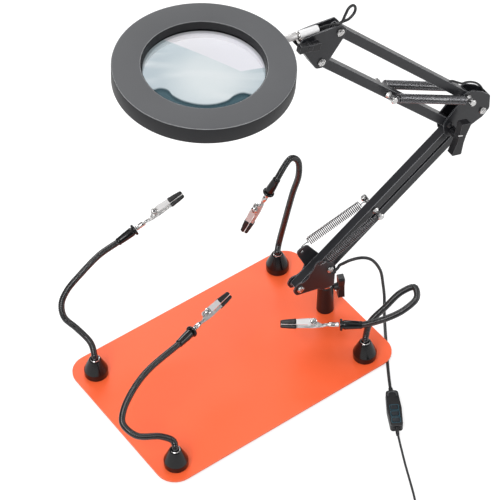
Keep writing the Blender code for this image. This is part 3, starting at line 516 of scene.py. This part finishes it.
# ------------------------------------------------------------------ four clip arms
# tag (front or back, left or right): foot (x, y), bends of the hose, middle of the boot's flange,
# a point the clip aims at, and which way up it lies. All from PLATE_MID.
CLIP_ARMS = {
    "fl": ((-127.0, -78.0),
           [(-125.6, -73.0, 33.2), (-136.1, -66.1, 41.9), (-158.0, -55.5, 49.0),
            (-163.7, -39.9, 56.8), (-156.9, -31.1, 62.8), (-139.4, -21.0, 70.6),
            (-113.6, -11.3, 76.2)],
           (-47.0, 3.0, 80.0), (14.0, 22.0, 78.0), 1),
    "bl": ((-127.0, 72.4),
           [(-124.0, 83.2, 38.6), (-130.6, 98.1, 52.9), (-138.0, 109.8, 65.4),
            (-135.3, 117.4, 77.9), (-124.9, 121.8, 87.9), (-103.8, 125.5, 97.7),
            (-76.8, 131.0, 104.3)],
           (-29.2, 132.9, 112.3), (29.9, 129.1, 132.2), 1),
    "br": ((118.6, 79.2),
           [(124.3, 84.6, 31.9), (130.6, 81.8, 66.8), (137.1, 75.9, 112.4),
            (140.3, 69.2, 145.0), (139.0, 69.8, 165.5), (129.8, 70.0, 173.5)],
           (101.4, 71.8, 137.2), (81.6, 85.9, 83.0), -1),
    "fr": ((117.5, -79.7),
           [(120.1, -77.6, 32.6), (125.8, -76.6, 48.2), (143.3, -80.6, 65.4),
            (159.1, -85.5, 81.7), (171.0, -92.6, 87.9), (166.3, -102.3, 83.7),
            (150.7, -103.0, 76.6), (133.6, -97.2, 69.5)],
           (94.8, -64.0, 53.9), (44.2, -25.9, 54.2), -1),
}
CLIP_LEAN = Vector((-0.393, -0.559, 0.730))   # crossed with a clip's line to give its up
RIVET = (27.5, 0, 3.4)                        # rivet axis in the clip's frame
CONE_H = 24.0
BOOT_LENGTH = 23.0
RIB_PITCH = 1.65

# (distance along the boot, radius): shallow waist, then a groove and the flange
BOOT = [(-1.2, 3.3), (0.0, 4.1), (1.2, 4.35), (2.4, 4.1), (3.2, 4.2), (10.0, 4.7), (17.6, 5.05),
        (18.8, 4.9), (19.4, 4.4), (20.0, 4.4), (20.25, 5.6), (20.6, 6.3), (21.3, 6.5),
        (22.2, 6.5), (22.8, 6.2), (BOOT_LENGTH, 5.4), (BOOT_LENGTH, 2.6), (22.6, 2.5)]
# (radius, distance from the flange)
BARREL = [(2.18, 0.9), (2.45, 0.9), (2.75, 1.1), (2.75, 4.0), (2.45, 4.5), (2.45, 5.2),
          (2.75, 5.7), (2.75, 10.6), (2.5, 11.6), (2.3, 12.4), (2.18, 12.4)]
# (radius, distance from the clip's middle)
EYELET = [(1.75, 4.35), (3.5, 4.3), (3.55, 4.75), (3.0, 5.3), (2.3, 5.45), (1.85, 5.25),
          (1.7, 4.7)]
RIVET_CORE = [(0, 5.32), (1.2, 5.32), (1.55, 5.05), (1.55, 4.4), (0, 4.4)]


def gooseneck(tag, body, foot, bends, boot_start, along):
    """Ribbed hose rising out of the cone, and the smooth boot at its clip end."""
    rise = [Vector((*foot, SEAT_Z + h)) for h in (14.5, 18.0, 19.5, 25.5)]
    line = rise[2:] + [Vector(b) for b in bends] + [boot_start, boot_start + along * 6]
    path = rise[:2] + catmull(line, 12)[1:]
    stations = [(p, 3.12 + 0.40 * abs(math.sin(PI * run / RIB_PITCH)) ** 0.55)
                for p, run in resample(path, RIB_PITCH / 5)]
    hose = piece("hose_" + tag, sweep(stations, 18), HOSE, body, PLATE, smooth=80)
    boot = sweep([(boot_start + along * x, r) for x, r in BOOT], 32)
    piece("boot_" + tag, boot, GLOSS, body, PLATE, smooth=50)
    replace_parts(hose, "gooseneck_" + tag)


def magnet_cone(tag, body, foot):
    """Cone with an upright skirt, and a bright collar round its neck."""
    top = SEAT_Z + CONE_H
    outer = fillet([(11.6, SEAT_Z), (12.8, SEAT_Z), (12.85, SEAT_Z + 7.6), (6.2, SEAT_Z + 23.2),
                    (5.2, top), (3.9, top)], 0.8)
    profile = [(0, SEAT_Z)] + outer + [(3.7, SEAT_Z + 22.0), (0, SEAT_Z + 22.0)]
    place = Matrix.Translation(PLATE_MID + Vector((*foot, 0)))
    cone = piece("cone_" + tag, revolve(profile, 72), GLOSS, body, place,
                 smooth=40)
    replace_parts(cone, "magnet_foot_" + tag)
    profile = [(4.3, top - 0.4), (5.15, top - 0.4), (5.35, top - 0.1), (5.3, top + 0.3),
               (5.0, top + 0.5), (4.3, top + 0.4)]
    piece("collar_" + tag, revolve(profile, 40, closed=True), CHROME, body,
          place, smooth=30)


def jaw_sleeve(half_heights, half_width, floor_z, side):
    """Rubber sleeve tapering along the jaw; side is 1 above floor_z and -1 below it."""
    x0, x1 = 45.5, 62.8
    n = 16
    sections = []
    for i in range(n + 1):
        t = i / n
        x = x0 + (x1 - x0) * t
        swell = 1.0 + 0.015 * math.cos(2 * PI * t * 2.0)
        if i in (0, n):
            swell *= 0.80
        elif i in (1, n - 1):
            swell *= 0.95
        half_z = (half_heights[0] + (half_heights[1] - half_heights[0]) * t) * swell
        half_y = (half_width - 0.35 * t) * swell
        loop = rrect(0, floor_z + side * half_z, half_y, half_z, 1.3)
        sections.append([(x, y, z) for y, z in loop])
    return loft(sections)


def clip_dressing(tag, body, clip):
    """Rolled barrel round the tail, eyelets on the rivet, rubber sleeves on both jaws."""
    jaw = "jaw_" + tag
    piece("clip_barrel_" + tag, revolve(BARREL, 40, closed=True), CHROME, body,
          clip @ Matrix.Rotation(PI / 2, 4, "Y"))
    for k, side in enumerate((1, -1)):
        out = clip @ (Matrix.Translation(RIVET) @ Matrix.Rotation(-side * PI / 2, 4, "X"))
        piece("eyelet_%s_%d" % (tag, k), revolve(EYELET, 32, closed=True), CHROME, jaw,
              out)
        piece("rivet_core_%s_%d" % (tag, k), revolve(RIVET_CORE, 24), WIRE_DARK, body,
              out)
    lower = jaw_sleeve(half_heights=(2.2, 1.75), half_width=4.0, floor_z=-0.25, side=-1)
    piece("sleeve_low_" + tag, lower, RUBBER, body, clip, smooth=55)
    upper = jaw_sleeve(half_heights=(3.15, 2.2), half_width=4.9, floor_z=0.12, side=1)
    piece("sleeve_up_" + tag, upper, RUBBER, jaw, clip, smooth=55)


for tag, (foot, bends, flange, aimed, up_side) in CLIP_ARMS.items():
    flange = Vector(flange)
    along = (Vector(aimed) - flange).normalized()
    gooseneck(tag, "arm_" + tag, foot, bends, flange - along * BOOT_LENGTH, along)
    magnet_cone(tag, "arm_" + tag, foot)
    clip = PLATE @ aim(flange, along, CLIP_LEAN.cross(along) * up_side)
    clip_dressing(tag, "arm_" + tag, clip)


# ------------------------------------------------------------------ stem and elbow knob
def stem():
    """Bare tube, collar and white sleeve in line between the ring and the head bracket."""
    start, end = arm(-52.45, 414.2), arm(-14.0, 410.8)
    axis = aim(start, end - start) @ Matrix.Rotation(PI / 2, 4, "Y")
    length = (end - start).length
    # name, material, body, (radius, distance along the stem) profile
    parts = [
        ("tilt_sleeve", WHITE, "tilt",
         [(3.32, 16.6), (3.75, 16.5), (3.95, 16.8), (3.95, length - 1.6), (3.7, length - 0.9),
          (3.32, length - 0.9)]),
        ("stem_collar", CHROME, "head",
         [(3.52, 13.4), (3.9, 13.5), (4.0, 13.9), (4.0, 15.6), (3.9, 15.95), (3.52, 16.0)]),
        ("stem_tube", SATIN, "head",
         [(3.3, 0.6), (3.6, 0.6), (3.75, 0.9), (3.75, 12.9), (3.6, 13.2), (3.3, 13.2)]),
    ]
    for name, mat, body, profile in parts:
        piece(name, revolve(profile, 48, closed=True), mat, body, axis, smooth=30)


def elbow_knob_insert():
    """Steel tab set in the elbow knob's hub; levels are (depth, inset)."""
    levels = ((-23.9, 0.0), (-24.35, 0.05), (-24.55, 0.3))
    tab = loft([[(x, y, z) for x, y in rrect(0, 0, 3.2 - inset, 0.8 - inset * 0.5, 0.4)]
                for z, inset in levels])
    axis = ARM @ Matrix.Translation((148.6, 0.0, 208.0)) @ Matrix.Rotation(-PI / 2, 4, "X")
    piece("elbow_knob_insert", tab, STEEL, "elbow_knob",
          axis @ Matrix.Rotation(math.radians(22), 4, "Z"))


stem()
elbow_knob_insert()

# ------------------------------------------------------------------ tension springs
SPRING_Y = 12.0                       # springs either side of the arm's plane
LOWER_PIN = (57.5, 129.6)             # (a, z), as are the next three
ELBOW = (167.0, 239.5)
HEAD = (6.6, 402.1)
INNER_HEAD = Vector((-14.3, 373.9))
UPPER_RUN = Vector((HEAD[0] - ELBOW[0], HEAD[1] - ELBOW[1]))
# 112.5 mm up the line that ends at INNER_HEAD and runs parallel to elbow-head
UPPER_PIN = tuple(INNER_HEAD - UPPER_RUN + UPPER_RUN.normalized() * 112.5)
EYE_R = 2.75
EYE_NECK = EYE_R + 1.4                # from a pin to where its eye closes
END_GAP = 7.8                         # from the end pin to the coil
LEAD = 1.2                            # straight wire just before and after the coil


def spring(name, start, end, hooked, start_gap, mat, wire, pitch, od):
    """Close coil between two (a, z, y) points: a hook or an eye at the start, an eye at the end."""
    a, b = arm(*start), arm(*end)
    length = (b - a).length
    d = (b - a) / length
    across = (ARM.to_3x3() @ Vector((0, 1, 0))).normalized()
    n = across.cross(d).normalized()
    side = d.cross(n)

    def eye(centre, first, sweep_deg):
        turns = [math.radians(first + sweep_deg * k / 14) for k in range(15)]
        return [centre + (d * math.cos(t) + n * math.sin(t)) * EYE_R for t in turns]

    if hooked:
        inward = across * (-1 if start[2] > 0 else 1)
        depth = abs(start[2]) - 6.0
        # (along the spring, inward)
        hook = [(0.2, depth + 0.7), (-0.5, depth - 0.6), (-0.3, depth - 1.6),
                (0.9, (depth - 2.6) * 0.7), (3.0, 0.8), (5.0, 0.0)]
        pts = [a + d * u + inward * v for u, v in hook]
    else:
        pts = eye(a, 25, 310) + [a + d * EYE_NECK]
    pts.append(a + d * (start_gap - LEAD))
    coil_length = length - start_gap - END_GAP
    turns = round(coil_length / pitch)
    steps = turns * 14
    for k in range(steps + 1):
        t = k / steps
        turn = 2 * PI * turns * t
        # the first and last half turns open out from the axis
        r = (od / 2 - wire) * min(1.0, 0.35 + 0.65 * min(k, steps - k) / 7.0)
        centre = a + d * (start_gap + coil_length * t)
        pts.append(centre + (n * math.cos(turn) + side * math.sin(turn)) * r)
    pts += [b - d * (END_GAP - LEAD), b - d * EYE_NECK] + eye(b, 155, -310)
    obj = piece(name + "_coil", sweep([(p, wire) for p in pts], 7), mat, None,
                smooth=80)
    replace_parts(obj, name)
    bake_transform(obj)


spring("lower_spring_near", (-13.0, 86.5, -10.0), (*LOWER_PIN, -SPRING_Y), hooked=True,
       start_gap=10.0, mat=WIRE_DARK, wire=0.47, pitch=2.05, od=9.6)
spring("lower_spring_far", (-26.7, 102.4, 12.0), (*LOWER_PIN, SPRING_Y), hooked=True,
       start_gap=12.0, mat=WIRE, wire=0.47, pitch=2.05, od=9.6)
for tag, y in (("near", -SPRING_Y), ("far", SPRING_Y)):
    spring("upper_spring_" + tag, (*ELBOW, y), (*UPPER_PIN, y), hooked=False,
           start_gap=8.8, mat=WIRE_DARK, wire=0.6, pitch=1.95, od=10.0)

# ------------------------------------------------------------------ ring head
# origin on the ring's axis at its top face, which is tilted a little both ways
RING = (ARM @ Matrix.Translation((-138.6, 0.0, 424.6))
        @ Matrix.Rotation(math.radians(2.4), 4, "Y") @ Matrix.Rotation(math.radians(2.4), 4, "X"))
RO, RI, RING_H = 86.1, 58.3, 18.6     # outer and inner radius, height


def ring_part(name, profile, n, mat, smooth, closed=True):
    return piece(name, revolve(profile, n, closed), mat, "head", RING, smooth)


def ridged_wall():
    """Profile of the inner wall: five ridges stepping inward, then the ledge for the lens.

    Returns it with the radius below the ridges.
    """
    profile = [(RI + 1.3, -0.9), (RI + 0.5, -0.3), (RI, -0.7)]
    z, r = -1.0, RI
    for _ in range(5):
        profile += [(r, z), (r, z - 0.80), (r - 0.2, z - 0.9), (r - 0.2, z - 1.25)]
        z -= 1.35
        r -= 0.2
    profile += [(r, z), (r, -8.2), (RI + 0.6, -8.2), (RI + 0.6, -11.9), (RI + 2.2, -11.9)]
    return profile, r


def ring_housing():
    """Top shell, side wall and inner wall; returns the radius below the inner wall's ridges."""
    top = fillet([(RI + 0.5, -0.7), (RI + 0.7, -0.1), (RO - 3.4, 0.0), (RO - 0.9, -0.05),
                  (RO - 0.2, -0.45), (RO - 0.2, -0.9)], 0.4)
    under = [(RO - 1.6, -0.9), (RO - 1.6, -3.4), (RI + 4.6, -3.4), (RI + 1.9, -1.4)]
    shell = ring_part("ring_top_shell", top + under, 160, GREY, smooth=40)
    side = fillet([(RO - 3.0, -1.1), (RO, -1.1), (RO, -RING_H + 0.6), (RO - 1.2, -RING_H),
                   (RO - 2.6, -RING_H), (RO - 2.6, -RING_H + 1.6)], 0.4, 3)
    ring_part("ring_side_wall", side + [(RO - 3.0, -4.0)], 160, DARKGREY,
              smooth=35)
    wall, clear_r = ridged_wall()
    ring_part("ring_inner_wall", wall, 144, WELL, smooth=30)
    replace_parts(shell, "ring_housing")
    return clear_r


def ring_diffuser():
    low = -RING_H - 0.9
    profile = fillet([(RI - 1.6, -13.2), (RI + 2.4, -13.2), (RI + 2.4, -RING_H + 0.6),
                      (RO - 2.9, -RING_H + 0.6), (RO - 2.9, low), (RI - 0.6, low),
                      (RI - 1.6, -RING_H), (RI - 1.6, -13.6)], 0.5, 3)
    cover = ring_part("ring_diffuser", profile, 144, DIFFUSER, smooth=35)
    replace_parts(cover, "ring_cover")


def lens(clear_r):
    """Biconvex lens; the painted light pattern spans the radius left clear by the inner wall."""
    radius = RI + 0.3
    painted_lens_light = glass("lens_glass_painted_light", centre=RING @ Vector((0, 0, -8.0)) * MM, radius=clear_r * MM)
    steps = [i / 14 for i in range(15)]
    dome = [(radius * t, -8.4 + 2.0 * (1 - t ** 2)) for t in steps]
    belly = [(radius * t, -11.6 - 1.8 * (1 - t ** 2)) for t in reversed(steps)]
    disc = ring_part("lens_glass", dome + belly, 144, painted_lens_light, smooth=40, closed=False)
    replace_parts(disc, "lens")


def ring_screws():
    """Six screws on the ring's underside."""
    screws = []
    for k in range(6):
        t = 2 * PI * (k + 0.5) / 6
        screw = revolve([(0, -1.5), (1.5, -1.5), (1.9, -1.1), (1.9, 0.2), (0, 0.2)], 16)
        screw.transform(Matrix.Translation((77.5 * math.cos(t), 77.5 * math.sin(t),
                                            -RING_H - 0.6)))
        screws.append(screw)
    piece("ring_screws", joined(screws), STEEL, "head", RING)


clear_radius = ring_housing()
ring_diffuser()
lens(clear_radius)
ring_screws()

# ------------------------------------------------------------------ cords
CONTROL_Z = 2.0                                    # height of the controller's end points
CONTROL_A = Vector((109.4, -135.9, CONTROL_Z))     # end the lamp's cord enters
CONTROL_B = Vector((84.5, -176.3, CONTROL_Z))      # end the tail leaves
control_line = (CONTROL_B - CONTROL_A).normalized()
CORD_START = [(139, -10.5, 73.5), (146, -14.5, 78)]   # first points of the run down to the table


def cord(name, line, radius, body=None, per=10, sides=14, matrix=None):
    bar = sweep([(p, radius) for p in catmull(line, per)], sides)
    return piece(name, bar, CORD, body, matrix, smooth=60)


def base_cords():
    """Cord from the arm down to the controller, and the tail beyond it."""
    run = CORD_START + [(157, -20.5, 80.2), (168, -23.5, 73), (178, -27, 54), (183, -28, 26),
                        (184, -30, 6), (177, -39, -2.6), (151.5, -74, -2.6),
                        (128.4, -106.6, -2.6), (114.6, -127.2, -1.2),
                        CONTROL_A + Vector((0.9, 1.6, -2.4))]
    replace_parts(cord("cord_run", run, 1.7, "base", matrix=PLATE), "lamp_cable")
    tail = [CONTROL_B + control_line * 0.4 + Vector((0, 0, -2.2)),
            CONTROL_B + control_line * 9 + Vector((0.5, 0, -4.0)),
            (65.2, -213.0, -3.1), (44.0, -255.5, -3.1), (30.0, -279.0, -3.1)]
    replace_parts(cord("cord_tail", tail, 1.2, "base", matrix=PLATE), "tail_cable")


def cord_lead():
    """Short lead from the run to the yoke, and the clip that holds it there."""
    start, second = (Vector(p) + PLATE_MID for p in CORD_START)
    back = (start - second).normalized()
    end = arm(6.4, 67.5, -8.6)
    line = [start - back * 0.4, start + back * 3.0, arm(9.4, 68.8, -8.3), end,
            arm(3.0, 65.0, -8.6)]
    lead = cord("cord_lead", line, 1.62, per=8)
    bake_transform(lead)
    stations = [(arm(6.0, 67.3, -8.6), 2.2), (arm(5.6, 67.0, -8.6), 2.45),
                (arm(3.0, 65.0, -8.6), 2.45), (arm(2.4, 64.6, -8.6), 2.1)]
    piece("cord_clip", sweep(stations, 18), MOULD, "swivel", smooth=50)


def arm_cord(name, points, radius, body=None, pair=None):
    """Cord through (a, z, y) points, riding one body, or with a pair given, on no body with its
    placement baked into the mesh.
    """
    line = [arm(*p) for p in points]
    obj = cord(name, line, radius, body, per=8, sides=12)
    if pair:
        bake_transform(obj)


def arm_cords():
    # out of the stem, through the head bracket, a free loop above it and down to the outer bar
    bracket = (4.7, 411.6, -5.0)
    arm_cord("cord_tilt", [(-15.5, 411.0, 0.0), (-11.5, 411.2, -0.4), (-3.3, 411.8, -2.0),
                           bracket], 1.0, pair=("tilt", "head_carrier"))
    arm_cord("cord_head_loop",
             [bracket, (8.2, 413.6, -6.6), (11.5, 420.7, -7.0), (15.8, 428.0, -7.0),
              (20.2, 429.2, -7.0), (23.0, 425.0, -7.0), (21.9, 419.2, -7.0), (15.8, 414.3, -7.0),
              (9.8, 413.2, -6.2), (5.5, 410.6, -4.4), (6.5, 406.5, -3.0), (12.0, 402.8, -2.6)],
             1.4, body="head_carrier")
    # out of the outer bar's lower end, over the elbow and down
    bar_end = (163.5, 255.4, 0.0)
    arm_cord("cord_bar_exit", [(146.5, 266.3, 0.0), (150.0, 265.6, 0.0), (157.0, 260.4, 0.0),
                               bar_end], 1.15, body="upper_link")
    arm_cord("cord_elbow_loop",
             [bar_end, (169.0, 254.6, 0.0), (175.5, 252.0, 0.0), (183.2, 246.4, 0.0),
              (189.5, 238.0, 0.0), (191.6, 231.0, 0.0), (190.0, 224.5, 0.0)],
             1.15, pair=("upper_link", "elbow"))


base_cords()
cord_lead()
arm_cords()

# ------------------------------------------------------------------ lamp controller dressing
# frame: X from the lamp end to the tail end, Z up from the level CONTROL_BOTTOM
CONTROL_BOTTOM = -4.3
CONTROL_HALF = (CONTROL_B - CONTROL_A).length / 2
CONTROL = PLATE @ aim(CONTROL_A * 0.5 + CONTROL_B * 0.5
                      - Vector((0, 0, CONTROL_Z - CONTROL_BOTTOM)), control_line)
KEY_X, KEY_PITCH = -0.9, 8.4          # first key and spacing
# (height, inset) up one key
KEY_LEVELS = ((6.0, 0.0), (9.2, 0.0), (9.55, 0.12), (9.75, 0.5), (9.8, 1.2))


def strain_relief(k, side, radius, droop):
    """Tapering ribbed sleeve at one end; side is -1 at the lamp end."""
    stations = []
    for i in range(25):
        t = i / 24
        rib = 1.0 if (i // 2) % 2 == 0 else 0.86
        place = Vector((side * CONTROL_HALF + side * (-0.6 + 8.2 * t), 0, 4.4 - 1.9 * t * droop))
        stations.append((place, radius * (1 - 0.22 * t) * rib))
    piece("strain_relief_%d" % k, sweep(stations, 20), RUBBER, "base", CONTROL,
          smooth=50)


def key(number, mid_x):
    """One key and the flat outline round it."""
    sections = [[(x, y, z) for x, y in rrect(mid_x, 0, 3.0 - inset, 4.1 - inset,
                                             1.4 - inset * 0.6)] for z, inset in KEY_LEVELS]
    cap = piece("key_%d" % number, loft(sections), BUTTON, "button_%d" % number,
                CONTROL, smooth=40)
    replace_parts(cap, "button_%d" % number)
    outer = rrect(mid_x, 0, 3.65, 4.85, 1.3, 5)
    inner = rrect(mid_x, 0, 3.25, 4.42, 1.1, 5)
    bm = bmesh.new()
    top_out, top_in, low_out, low_in = [
        [bm.verts.new((x, y, z)) for x, y in loop] for z in (9.12, 8.98) for loop in (outer, inner)]
    n = len(outer)
    for i in range(n):
        j = (i + 1) % n
        bm.faces.new((top_out[i], top_out[j], top_in[j], top_in[i]))
        bm.faces.new((low_out[j], low_out[i], low_in[i], low_in[j]))
        bm.faces.new((top_out[j], top_out[i], low_out[i], low_out[j]))
        bm.faces.new((top_in[i], top_in[j], low_in[j], low_in[i]))
    piece("key_outline_%d" % number, bm, TEAL, "base", CONTROL)


def controller_rim():
    """Raised U-shaped rim at the lamp end of the shell."""
    line = [(-16.0, -4.6), (-18.5, -4.6), (-20.6, -4.0), (-21.6, 0), (-20.6, 4.0), (-18.5, 4.6),
            (-16.0, 4.6)]
    run = catmull([(x, y, 9.1) for x, y in line], 6)
    piece("controller_rim", sweep([(p, 0.75) for p in run], 10), RIM, "base",
          CONTROL, smooth=60)


strain_relief(0, side=-1, radius=2.9, droop=0.85)
strain_relief(1, side=1, radius=2.3, droop=1)
for k in range(3):
    key(k + 1, KEY_X + k * KEY_PITCH)
controller_rim()


# ------------------------------------------------------------------ floor, world, lights, camera
def floor_material():
    """Near white to the camera, plain diffuse to every other ray."""
    mat = bpy.data.materials.new("studio_floor")
    g = Graph(mat, clear=True)
    glow = g.add("Emission", {"Color": (1, 1, 1, 1), "Strength": 0.72})
    seen = g.add("AddShader", {0: glow, 1: g.add("BsdfDiffuse", {"Color": (0.40, 0.40, 0.40, 1)})})
    bounce = g.add("BsdfDiffuse", {"Color": (0.72, 0.72, 0.72, 1)})
    camera_ray = g.add("LightPath").outputs["Is Camera Ray"]
    g.add("OutputMaterial",
          {"Surface": g.add("MixShader", {0: camera_ray, 1: bounce, 2: seen})})
    return mat


def floor():
    bm = bmesh.new()
    bmesh.ops.create_grid(bm, x_segments=2, y_segments=2, size=6.0)
    mesh = bpy.data.meshes.new("floor")
    bm.to_mesh(mesh)
    bm.free()
    mesh.materials.append(floor_material())
    obj = bpy.data.objects.new("floor", mesh)
    obj.location = (PLATE_MID.x * MM, PLATE_MID.y * MM, -0.0002)
    scene.collection.objects.link(obj)


def studio_world():
    """Sky brightening upward: white to the camera, broken into upright strips in reflections."""
    world = bpy.data.worlds.new("studio")
    g = Graph(world)
    view = g.add("SeparateXYZ", {0: g.add("TexCoord").outputs["Generated"]}).outputs
    sky_node = g.add("ValToRGB", {"Fac": view["Z"]})
    stops = sky_node.color_ramp.elements
    stops[0].color = (0.22, 0.22, 0.23, 1)
    stops[1].color = (1.0, 1.0, 1.0, 1)
    for position, grey in ((0.30, 0.12), (0.50, 0.30), (0.75, 0.62)):
        stops.new(position).color = (grey, grey, grey * 1.01, 1)
    sky = sky_node.outputs["Color"]
    # five strips round the horizon, slanting slightly with height
    azimuth = g.calc("ARCTAN2", view["Y"], view["X"])
    wave = g.calc("SINE", g.calc("ADD", g.calc("MULTIPLY", azimuth, 5.0),
                                 g.calc("MULTIPLY", view["Z"], 3.0)))
    strips = g.remap(wave, source=(-0.25, 0.25), target=(0.30, 1.30), kind="SMOOTHSTEP")
    striped = g.add("VectorMath", {0: sky, "Scale": strips}, operation="SCALE").outputs[0]
    ray = g.add("LightPath").outputs
    lit = g.mix(ray["Is Glossy Ray"], sky, striped)
    g.feed(g.tree.nodes["Background"],
           {"Color": g.mix(ray["Is Camera Ray"], lit, (1, 1, 1)), "Strength": 1.0})
    scene.world = world


def area(name, loc, size, power):
    """Rectangular light aimed at the lamp; loc and size in metres, power in watts."""
    light = bpy.data.lights.new(name, "AREA")
    light.shape = "RECTANGLE"
    light.size, light.size_y = size
    light.energy = power
    obj = bpy.data.objects.new(name, light)
    obj.location = loc
    to_lamp = Vector((0.13, 0.08, 0.15)) - Vector(loc)
    obj.rotation_euler = to_lamp.to_track_quat("-Z", "Y").to_euler()
    scene.collection.objects.link(obj)


def camera():
    azimuth, elevation, roll = (math.radians(v) for v in (-35.126, 46.909, -1.149))
    # PLATE_MID as the camera holds it: to its right, downward, ahead
    plate_from_camera = Vector((-18.776, 119.629, 2191.162))
    view = -Vector((math.sin(azimuth) * math.cos(elevation),
                    -math.cos(azimuth) * math.cos(elevation), math.sin(elevation)))
    level = view.cross(Vector((0, 0, 1))).normalized()
    upright = level.cross(view)
    right = level * math.cos(roll) + upright * math.sin(roll)
    down = level * math.sin(roll) - upright * math.cos(roll)
    axes = Matrix((right, down, view))
    pose = Matrix((right, -down, -view)).transposed().to_4x4()
    pose.translation = (-(axes.transposed() @ plate_from_camera) + PLATE_MID) * MM
    cam = bpy.data.cameras.new("camera")
    cam.sensor_width = 36.0
    cam.lens = 146.89368
    obj = bpy.data.objects.new("camera", cam)
    obj.matrix_world = pose
    scene.collection.objects.link(obj)
    scene.camera = obj


floor()
studio_world()
area("key", loc=(-1.1, -0.5, 1.7), size=(1.1, 0.9), power=27)
area("rim", loc=(0.7, 1.4, 1.2), size=(1.2, 0.5), power=13)
area("fill", loc=(1.5, -1.1, 0.9), size=(0.9, 0.9), power=9)
camera()
scene.view_settings.view_transform = "Standard"

bpy.context.view_layer.update()
